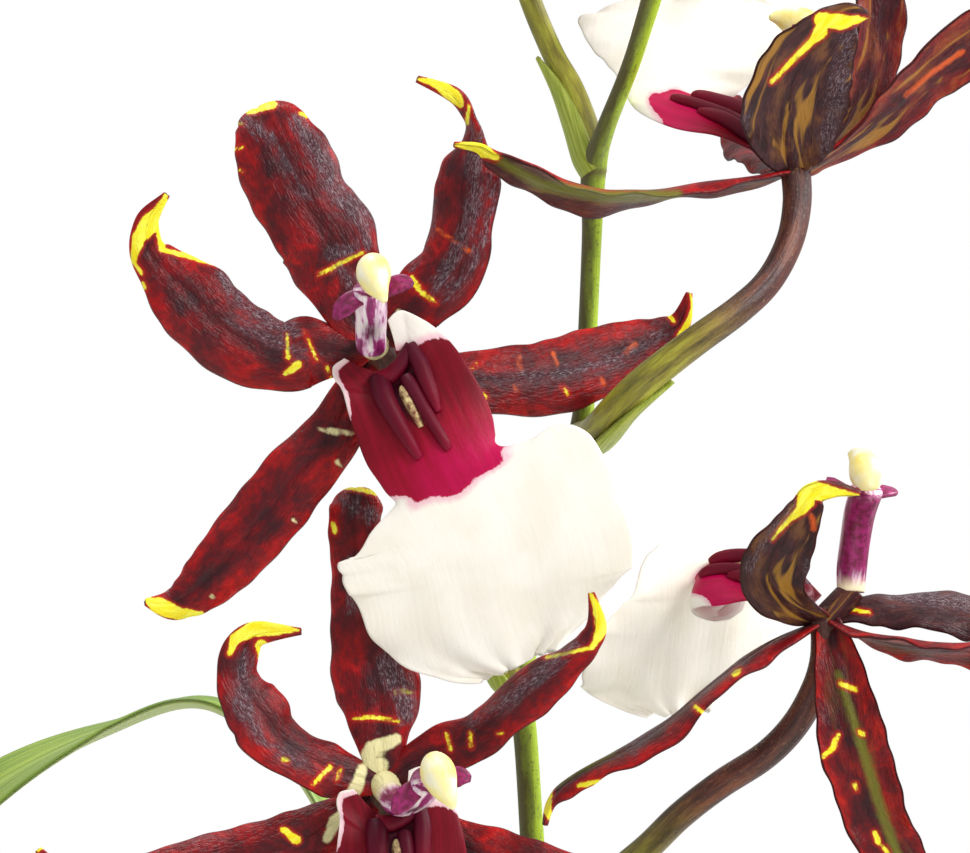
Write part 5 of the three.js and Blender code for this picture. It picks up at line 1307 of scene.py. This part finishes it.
MATERIALS = {
    "tepal": tepal_material(),
    "lip": lip_material(),
    "column": column_material(),
    "anther_cap": cap_material(),
    "stem": stem_material(),
    "pedicel": pedicel_material(),
    "leaf": leaf_material(),
    "pseudobulb": bulb_material(),
    "root": root_material(),
    "bark": bark_material(),
    "terracotta": pot_material(),
}
MATERIALS["bud"] = MATERIALS["pedicel"]


# Blooms
def tepal_ruffle(index):
    """The solid's slow waves along the margins, with finer ones, a groove and a roll added."""

    def height(share, v, half):
        near_tip = np.minimum(1, half / 4)
        side = v > 0
        slow = 0.55 * v * v * np.sin(2 * math.pi * 3.2 * share + index * 1.7 + 2.1 * side)
        fine = 0.2 * np.abs(v) ** 4 * np.sin(2 * math.pi * 8.3 * share + index + 1.3 * side)
        groove = 0.32 * np.exp(-((v / 0.12) ** 2))
        roll = 0.16 * half * np.abs(v) ** 3.5
        return near_tip * (slow + fine - groove) - roll

    return height


def tepal_margin(index):
    def stretch(share, v):
        side = np.where(v > 0, 1.9, 0)
        waves = np.sin(31 * share + index + side) + np.sin(67 * share + 2.3 * index - side)
        return 0.0175 * waves * v * v

    return stretch


def add_tepal(bloom, tepal, index, place, fineness):
    kind = TEPALS[BLOOMS[bloom]["tepals"]]
    shape = {"rise": TEPAL_RISE, "ruffle": tepal_ruffle(index), "margin": tepal_margin(index)}
    blade = Blade({**kind[tepal], **shape}, place)
    mesh = blade_mesh(blade, *steps("tepal", fineness), TEPAL_THICKNESS)
    points, _, where = mesh
    flat = place.back(points)[:, [0, 2]]
    # Markings and painted highlight strokes, as gaps from each point of the tepal
    tepal_strokes = MARKS_AND_SHEEN.get(bloom, MARKS_AND_SHEEN["bloom_3"]).get(tepal, {})
    paint = {key: stroke_gap(flat, tepal_strokes.get(key, [])) for key in MARK_AND_SHEEN_KEYS}
    look = TEPAL_LOOKS.get(bloom, {}).get(tepal, {})
    under, across = where["under"], where["across"]
    top_outer = look.get("top_outer", 0)
    paint["outer"] = under * look.get("under_outer", 1) + (1 - under) * top_outer
    if "split" in look:
        above = points[:, 2] - blade.centres(where["along"])[:, 2]
        paint["outer"] = smooth_step(above, look["split"] - 0.25, look["split"] + 0.25)
    paint["gold"] = look.get("gold", 0.45) * np.maximum(under, top_outer)
    paint.update(across=across, dark=np.exp(-((across / 0.3) ** 2)))
    add_piece(f"{bloom}_{tepal.replace(' ', '_')}", mesh, paint, "tepal", f"{bloom}_tepals")


def lobe_share(share):
    """How far a share of the lip's length is along its white lobe."""
    return np.maximum(0, (share - LOBE_START) / (1 - LOBE_START))


def lip_ruffle(share, v, _half):
    sides = v**4 * np.sin(26 * share + 1.2 * (v > 0))
    end = share**6 * np.sin(5.5 * v + 0.6)
    frill = v**8 * np.sin(71 * share + 0.7 * (v > 0)) + share**14 * np.sin(19 * v)
    folds = share**3 * (1 - v * v) * np.sin(13 * v + 2.4 * share)
    return lobe_share(share) * (1.3 * sides + 1.2 * end + 0.45 * frill + 0.3 * folds)


def lip_margin(share, v):
    side = np.where(v > 0, 2.6, 0)
    waves = np.sin(43 * share + side) + 0.6 * np.sin(97 * share - side)
    return 0.018 * lobe_share(share) * waves * v * v


def add_lip(bloom, lip, place, fineness):
    blade = Blade({**lip, "ruffle": lip_ruffle, "margin": lip_margin}, place)
    mesh = blade_mesh(blade, *steps("lip", fineness), LIP_THICKNESS)
    across, along = mesh[2]["across"], mesh[2]["along"]
    shares = np.linspace(0, 1, 200)
    lengths = blade.length_at(shares)
    run = np.interp(along, shares, lengths)
    waist = np.interp(lip["waist"], shares, lengths)
    tongue = 0.35 * np.cos(11 * across) + lip["tongue"] * (1 - across**2) - 1.2 * across
    red_gap = run - waist - tongue
    if lip is LIPS["front"]:
        shoulder = 9 * (-across - 0.55 - 0.6 * smooth_step(run, 1.5, 5))
        edge = 14 * (across - 0.93) - 4 * smooth_step(run, 4, 9)
        red_gap = np.maximum(red_gap, np.maximum(shoulder, edge))
    else:
        red_gap = np.maximum(red_gap, -FAR_FROM_MARKS)
    paint = {
        "red_gap": red_gap,
        "callus": smooth_step(np.abs(across), 0.5, 0.2) * smooth_step(along, 0.3, 0.2),
        "bright": smooth_step(run, 0.35 * waist, 1.1 * waist) * (0.75 - 0.25 * across),
        "spot": np.full(len(run), 1.0),
    }
    add_piece(f"{bloom}_lip_blade", mesh, paint, "lip", f"{bloom}_lip")
    fingers = []
    for finger in CALLUS_FINGERS:
        rows = []
        for share, v, radius in finger:
            point = blade.surface(np.array([share]), np.array([v]))[0][0, 0]
            normal = blade.frames(np.array([share]))[1][0]
            rows.append([*(point + 0.75 * radius * normal), radius])
        fingers.append(loft_mesh(rows, *steps("finger")))
    callus = joined(*fingers)
    along = callus[2]["along"]
    spot = np.full(len(along), 1.0)
    spot[-len(fingers[-1][0]):] = 0.0
    paint = {"red_gap": np.full(len(along), -3.0), "callus": 1 - 0.55 * along}
    paint.update(spot=spot, bright=0.4 * along)
    add_piece(f"{bloom}_callus", callus, paint, "lip", f"{bloom}_lip")


def add_column(bloom, place, fineness):
    def hollowed(angles, share):
        open_side = np.maximum(0, np.cos(angles)) ** 2
        cavity = math.exp(-(((share - CAVITY_SHARE) / 0.16) ** 2))
        return 1 - (0.22 + 0.25 * cavity) * open_side

    body = loft_mesh(COLUMN_ROWS, *steps("column", fineness), place, (0, 0.5, -0.85), hollowed)
    along, facing = body[2]["along"], np.cos(body[2]["angle"])
    cavity = np.exp(-(((along - CAVITY_SHARE) / 0.13) ** 2))
    # Painted shade in the cavity: darkest on its open side, where the outline is hollowed in
    body[2]["hollow"] = 0.9 * np.maximum(0, facing) ** 3 * cavity
    body[2]["pale"] = smooth_step(along, 0.2, 0.02)
    body[2]["wing"] = smooth_step(facing, 0.1, -0.5) * smooth_step(along, 0.08, 0.3)
    parts = [body]
    for rows in WING_ROWS:
        lean = math.copysign(0.3, rows[0][0])
        wing = Blade({"rows": rows, "faces": [[0, 0, 1, 0.6], [1, lean, 1, 0.4]]}, place)
        mesh = blade_mesh(wing, *steps("wing", fineness), WING_THICKNESS)
        none = np.zeros(len(mesh[0]))
        mesh[2].update(hollow=none, wing=none + 1, pale=none)
        parts.append(mesh)
    keys = ("hollow", "wing", "pale")
    add_joined(f"{bloom}_column_body", parts, keys, "column", f"{bloom}_column")


def add_cap(bloom, place, fineness):
    def beak(angles, share):
        return 1 - 0.05 * np.cos(2 * angles) * math.sin(math.pi * share)

    mesh = loft_mesh(CAP_ROWS, *steps("cap", fineness), place, (1, 0, 0), beak)
    add_piece(f"{bloom}_cap", mesh, {}, "anther_cap", f"{bloom}_anther_cap")


def add_pedicel(bloom, fineness):
    def ribbed(angles, share):
        return 1 + 0.03 * np.cos(6 * angles) * (0.4 + 0.6 * share)

    mesh = loft_mesh(PEDICEL_ROWS[bloom], *steps("pedicel", fineness), outline=ribbed)
    green = 1.2 * smooth_step(mesh[2]["along"], *GREEN_FOOT.get(bloom, (0.3, 0.02)))
    add_piece(f"{bloom}_stalk", mesh, {"green": green}, "pedicel", f"{bloom}_pedicel")


def add_heart(bloom, place):
    """The knob that the tepals grow from, between the stalk and the column."""
    start = np.array(BLOOMS[bloom]["centre"], float)
    end = place.out(np.array([COLUMN_ROWS[0][:3]], float))[0]
    ahead = unit(end - start)
    middle = (start + end) / 2
    knots = ((start - 1.4 * ahead, 1.8), (start, 2.2), (middle, 2.1), (end + 0.6 * ahead, 1.9))
    mesh = loft_mesh([[*point, radius] for point, radius in knots], *steps("heart"))
    behind = BLOOMS[bloom]["lip"] != "front"
    none = np.zeros(len(mesh[0]))
    paint = {key: none + FAR_FROM_MARKS for key in MARK_AND_SHEEN_KEYS}
    paint.update(outer=none + behind, gold=none + 0.6 * behind, across=none, dark=none)
    if not behind:
        paint["cream"] = 0.6 - 3 * mesh[2]["along"]
    add_piece(f"{bloom}_heart", mesh, paint, "tepal", f"{bloom}_tepals")


for name, bloom in BLOOMS.items():
    fineness = 1 if name in MARKS_AND_SHEEN else HIDDEN_FINENESS
    centre, size, turn = bloom["centre"], bloom["size"], bloom.get("turn", TO_VIEWER)
    tepal_place = Placing(centre, size, turn)
    lip_place = Placing(centre, size, bloom.get("lip_turn", turn))
    column_place = Placing(bloom.get("column_foot", centre), size, bloom.get("column_turn", turn))
    for index, tepal in enumerate(TEPALS[bloom["tepals"]]):
        add_tepal(name, tepal, index, tepal_place, fineness)
    add_lip(name, LIPS[bloom["lip"]], lip_place, fineness)
    add_column(name, column_place, fineness)
    add_cap(name, column_place, fineness)
    add_pedicel(name, fineness)
    add_heart(name, column_place)


# Spike
def bract_rows(bloom, bract):
    away = unit(np.array(bract["below"], float))
    shares = np.linspace(0, 1, 5)
    centres = spline(PEDICEL_ROWS[bloom], shares * bract["reach"])[:, :3]
    offsets = np.array([[1.6], [2.9], [3.1], [2.9], [2.7]])
    widths = bract["half"] * np.array([[0.75], [1], [0.85], [0.5], [0.08]])
    return np.hstack([centres + away * offsets, widths])


def add_stem():
    stem = loft_mesh(STEM_ROWS, *steps("stem"))
    points, _, where = stem
    nodes = np.array([PEDICEL_ROWS[bloom][0][2] for bloom in BRACTS])
    near_node = np.abs(points[:, 2:3] - nodes).min(1)
    centre = spline(np.array(STEM_ROWS, float)[:, :3], where["along"])
    # Painted light: 0 on the stem's -X side to 1 on its +X side, which the stem's skin turns from
    # olive to lime
    where["lit"] = 0.5 + 0.5 * unit(points - centre)[:, 0]
    where["ring"] = 0.8 * np.exp(-((near_node / 0.7) ** 2))
    where["bract"] = np.zeros(len(points))
    parts = [stem]
    for bloom, bract in BRACTS.items():
        inwards = [-n for n in bract["below"]]
        faces = [[0, *inwards], [1, *inwards]]
        shape = {"rows": bract_rows(bloom, bract), "faces": faces, "rise": 0.5}
        mesh = blade_mesh(Blade(shape), *steps("bract"), BRACT_THICKNESS)
        none = np.zeros(len(mesh[0]))
        mesh[2].update(lit=none + 1, ring=none, bract=none + 1)
        parts.append(mesh)
    add_joined("spike", parts, ("lit", "ring", "bract"), "stem", "flower_stem")


def add_bud(index, bud):
    axis = unit(np.array(bud["along"], float))
    foot = np.array(bud["foot"], float)
    length, radius = bud["length"], bud["radius"]
    stalk = 0.55 * length
    profile = [(0, 1.1), (stalk * 0.5, 1.1), (stalk, 1.4)]
    swelling = ((0.16, 0.8), (0.42, 1), (0.7, 0.72), (0.9, 0.36))
    profile += [(stalk + length * share, radius * width) for share, width in swelling]
    profile.append((stalk + length, 0.4))
    rows = []
    for distance, r in profile:
        x, y, z = foot + axis * (distance + 0.4)
        rows.append([x, y, z + 0.012 * distance**2, r])

    def seamed(angles, share):
        return 1 - 0.11 * (share > 0.4) * np.abs(np.cos(1.5 * angles)) ** 14

    mesh = loft_mesh(rows, *steps("bud"), outline=seamed)
    paint = {"green": smooth_step(mesh[2]["along"], 0.62, 0.2) * 0.8 + 0.15}
    add_piece(f"bud_{index}_skin", mesh, paint, "bud", f"bud_{index}")


add_stem()
for index, bud in enumerate(BUDS, 1):
    add_bud(index, bud)


# Leaves, pseudobulbs and roots
def leaf_faces(rows):
    heading = unit(np.array(rows[-1][:2], float) - rows[0][:2])
    return [[0, -heading[0], -heading[1], 0.1], [1, 0, 0, 1]]


def add_leaf(index, leaf):
    fold = FLAT_LEAF_FOLD if index == 1 else LEAF_FOLD

    def folded(share, v, half):
        crease = np.sqrt(v * v + 0.006) - math.sqrt(0.006)
        waves = 0.35 * v**4 * np.sin(23 * share + index + 1.4 * (v > 0))
        return fold * half * crease * (1 - 0.5 * share) + waves

    rows = leaf["rows"]
    shape = {"rows": rows, "faces": leaf.get("faces") or leaf_faces(rows), "ruffle": folded}
    mesh = blade_mesh(Blade(shape), *steps("leaf"), LEAF_THICKNESS)
    paint = {key: mesh[2][key] for key in ("across", "along", "under")}
    add_piece(f"leaf_{index}_blade", mesh, paint, "leaf", f"leaf_{index}")


def add_bulb(index, bulb):
    swelling = (0.75, 0.95, 1, 0.93, 0.72, 0.42, 0.26)
    foot, tip = np.array(bulb["foot"], float), np.array(bulb["tip"], float)
    stations = zip(np.linspace(foot, tip, len(swelling)), swelling)
    rows = [[*point, bulb["radius"] * factor] for point, factor in stations]

    def flattened(angles, _share):
        return 1 / np.hypot(np.cos(angles), np.sin(angles) / 0.62) + 0.035 * np.cos(7 * angles)

    mesh = loft_mesh(rows, *steps("pseudobulb"), reference=(1, 0, 0), outline=flattened)
    paint = {"along": mesh[2]["along"]}
    add_piece(f"pseudobulb_{index}_skin", mesh, paint, "pseudobulb", f"pseudobulb_{index}")


def add_root(index, rows):
    def knobbly(angles, share):
        return 1 + 0.05 * np.sin(3 * angles + 21 * share) + 0.04 * math.sin(37 * share)

    mesh = loft_mesh(rows, *steps("root"), outline=knobbly)
    paint = {"along": mesh[2]["along"]}
    add_piece(f"root_{index}_skin", mesh, paint, "root", f"root_{index}")


for index, leaf in enumerate(LEAVES, 1):
    add_leaf(index, leaf)
for index, bulb in enumerate(BULBS, 1):
    add_bulb(index, bulb)
for index, rows in enumerate(ROOTS, 1):
    add_root(index, rows)


# Pot and growing medium
def lathe_mesh(profile, sides):
    """A closed body of revolution about +Z; its [radius, height] points end on the axis."""
    profile = np.array(profile, float)
    angles = np.linspace(0, 2 * math.pi, sides, endpoint=False)
    body = profile[1:-1]
    cosines, sines, ones = np.cos(angles), np.sin(angles), np.ones(sides)
    rings = [np.stack([r * cosines, r * sines, z * ones], 1) for r, z in body]
    points = np.concatenate([*rings, [[0, 0, profile[0, 1]], [0, 0, profile[-1, 1]]]])
    return points, ring_faces(len(body), sides), {"flat": points}


def rounded(profile, reach=0.9, pieces=4):
    """A profile with its inner corners rounded."""
    points = [profile[0]]
    for before, corner, after in zip(profile, profile[1:], profile[2:]):
        before, corner, after = (np.array(p, float) for p in (before, corner, after))
        back = corner + unit(before - corner) * min(reach, 0.45 * np.linalg.norm(before - corner))
        ahead = corner + unit(after - corner) * min(reach, 0.45 * np.linalg.norm(after - corner))
        for u in np.linspace(0, 1, pieces + 1):
            points.append((1 - u) ** 2 * back + 2 * u * (1 - u) * corner + u * u * ahead)
    return [*points, profile[-1]]


RIM_INSIDE = POT_RIM_RADIUS - POT_WALL
FOOT_INSIDE = POT_FOOT_RADIUS - POT_WALL


def inner_radius_at(height):
    share = (height - POT_FLOOR) / (POT_HEIGHT - POT_FLOOR)
    return FOOT_INSIDE + (RIM_INSIDE - FOOT_INSIDE) * share


def add_pot():
    band_foot = POT_HEIGHT - POT_RIM_BAND
    flare = POT_RIM_RADIUS - POT_RIM_LIP - POT_FOOT_RADIUS
    wall_at_band = POT_FOOT_RADIUS + flare * band_foot / POT_HEIGHT
    profile = [
        (0, 0), (POT_FOOT_RADIUS - 1.5, 0), (POT_FOOT_RADIUS, 1.5), (wall_at_band, band_foot),
        (POT_RIM_RADIUS - 0.8, band_foot + 1.6), (POT_RIM_RADIUS, POT_HEIGHT - 1.2),
        (POT_RIM_RADIUS - 1.2, POT_HEIGHT), (RIM_INSIDE + 1.2, POT_HEIGHT),
        (RIM_INSIDE, POT_HEIGHT - 1.2), (FOOT_INSIDE, POT_FLOOR), (0, POT_FLOOR),
    ]
    mesh = lathe_mesh(rounded(profile), POT_SIDES)
    pot = add_piece("pot_body", mesh, {}, "terracotta", "pot")
    drills = []
    for quarter in range(4):
        angle = math.pi / 4 + quarter * math.pi / 2
        drill = bpy.data.meshes.new("drill")
        foot, top = -POT_FLOOR, 2 * POT_FLOOR
        profile = [(0, foot), (DRAIN_HOLE_RADIUS, foot), (DRAIN_HOLE_RADIUS, top), (0, top)]
        points, faces, _ = lathe_mesh(profile, DRILL_SIDES)
        points = points + DRAIN_HOLE_OFFSET * np.array((math.cos(angle), math.sin(angle), 0))
        drill.from_pydata((points * MM).tolist(), [], faces)
        drills.append(linked("drill", drill))
        cut = pot.modifiers.new("drain", "BOOLEAN")
        cut.operation, cut.object, cut.solver = "DIFFERENCE", drills[-1], "EXACT"
    evaluated = pot.evaluated_get(bpy.context.evaluated_depsgraph_get())
    cut_mesh = bpy.data.meshes.new_from_object(evaluated)
    pot.modifiers.clear()
    pot.data = cut_mesh
    for drill in drills:
        bpy.data.objects.remove(drill)


def chip_mesh(random, centre, length, width, depth):
    """One rough chip of bark: a rounded block with a torn, ridged surface."""
    cells = 7
    points, faces = [], []
    ticks = np.linspace(-1, 1, cells + 1)
    u, w = np.meshgrid(ticks, ticks, indexing="ij")
    u, w = u.ravel(), w.ravel()
    for axis in range(3):
        for sign in (-1, 1):
            first = len(points) * (cells + 1) ** 2
            face = np.zeros((len(u), 3))
            face[:, axis], face[:, (axis + 1) % 3], face[:, (axis + 2) % 3] = sign, u * sign, w
            points.append(face)
            for i in range(cells):
                for j in range(cells):
                    a = first + i * (cells + 1) + j
                    faces.append([a, a + cells + 1, a + cells + 2, a + 1])
    cube = np.concatenate(points)
    rounding = 0.62 + 0.38 / np.maximum(1, np.linalg.norm(cube, axis=1, keepdims=True) ** 1.6)
    shape = cube * rounding
    phase = random.uniform(0, 6.28, 6)
    ridges = 0.09 * np.sin(7 * shape[:, 1] + phase[0] + 1.5 * shape[:, 0]) * np.abs(shape[:, 2])
    shape[:, 2] += ridges + 0.12 * np.sin(2.6 * shape[:, 0] + phase[1])
    shape[:, 1] *= 1 + 0.16 * np.sin(3.1 * shape[:, 0] + phase[2])
    shape[:, 0] *= 1 + 0.1 * np.sin(4.3 * shape[:, 1] + phase[3])
    local = shape * (length / 2, width / 2, depth / 2)
    tilts = (random.rand(3) - (0.5, 0.5, 0)) * (CHIP_TILT, CHIP_TILT, 2 * math.pi)
    placed = local @ np.array(Euler(tilts).to_matrix()).T + centre
    # Painted shade: a chip darkens below the top of the medium
    deep = smooth_step(placed[:, 2], MEDIUM_TOP + 1, MEDIUM_TOP - 3)
    return placed, faces, {"flat": local + random.uniform(-60, 60, 3), "deep": deep}


def add_medium():
    random = np.random.RandomState(CHIP_SEED)
    foot = POT_FLOOR + CLEARANCE
    reach = inner_radius_at(MEDIUM_TOP) - CLEARANCE
    profile = [(0, foot), (inner_radius_at(foot) - CLEARANCE, foot)]
    for share in np.linspace(1, 0, 16):
        profile.append((reach * share, MEDIUM_TOP - 2 + 0.9 * math.sin(31 * share)))
    bed = lathe_mesh(profile, BED_SIDES)
    # The bed under the chips is painted wholly in shade
    bed[2]["deep"] = np.ones(len(bed[0]))
    parts = [bed]
    for index in range(CHIP_COUNT):
        radius = (reach - 7) * math.sqrt((index + 0.5) / CHIP_COUNT)
        around = index * GOLDEN_ANGLE
        length = random.uniform(*CHIP_LENGTH)
        height = MEDIUM_TOP - 0.5 + random.uniform(*CHIP_LIFT)
        centre = (radius * math.cos(around), radius * math.sin(around), height)
        width = length * random.uniform(*CHIP_WIDTH)
        parts.append(chip_mesh(random, centre, length, width, random.uniform(*CHIP_DEPTH)))
    add_joined("bark_medium", parts, ("deep",), "bark", "growing_medium")


add_pot()
add_medium()


# Floor, light and camera
def add_floor():
    mesh = bpy.data.meshes.new("floor")
    corners = [(FLOOR_HALF * x, FLOOR_HALF * y, 0) for x, y in ((-1, -1), (1, -1), (1, 1), (-1, 1))]
    mesh.from_pydata(corners, [], [(0, 1, 2, 3)])
    paint = Paint("floor_paint", 0.7, 0.5)
    paint.shader.inputs["Base Color"].default_value = FLOOR_COLOUR
    mesh.materials.append(paint.material)
    floor = linked("floor", mesh)


def add_light(name, place, size, watts):
    data = bpy.data.lights.new(name, "AREA")
    data.shape, data.size, data.energy = "DISK", size, watts
    light = linked(name, data)
    light.location = place
    light.rotation_euler = (light.location - Vector(LIGHT_AIM)).to_track_quat("Z", "Y").to_euler()


add_floor()
add_light("key", (0.75, -0.75, 1.1), 0.35, 9)
add_light("rim", (0.9, 0.25, 0.95), 0.5, 12)
add_light("top", (-0.2, 0.1, 1.4), 0.4, 6)

world = bpy.data.worlds.new("studio")
bpy.context.scene.world = world
world.use_nodes = True
sky = world.node_tree
soft, seen = sky.nodes["Background"], sky.nodes.new("ShaderNodeBackground")
for background, strength in ((soft, SOFT_LIGHT), (seen, 1)):
    background.inputs["Color"].default_value = WHITE
    background.inputs["Strength"].default_value = strength
path = sky.nodes.new("ShaderNodeLightPath")
choice = sky.nodes.new("ShaderNodeMixShader")
sky.links.new(path.outputs["Is Camera Ray"], choice.inputs[0])
sky.links.new(soft.outputs[0], choice.inputs[1])
sky.links.new(seen.outputs[0], choice.inputs[2])
sky.links.new(choice.outputs[0], sky.nodes["World Output"].inputs["Surface"])

camera_data = bpy.data.cameras.new("camera")
camera_data.sensor_width = SENSOR_WIDTH
camera_data.lens = SENSOR_WIDTH * CAMERA_DISTANCE / PICTURE_WIDTH
camera = linked("camera", camera_data)
camera.location = (CAMERA_AIM[0] * MM, -CAMERA_DISTANCE * MM, CAMERA_AIM[2] * MM)
camera.rotation_euler = (math.pi / 2, 0, 0)
bpy.context.scene.camera = camera
bpy.context.scene.view_settings.view_transform = "Standard"
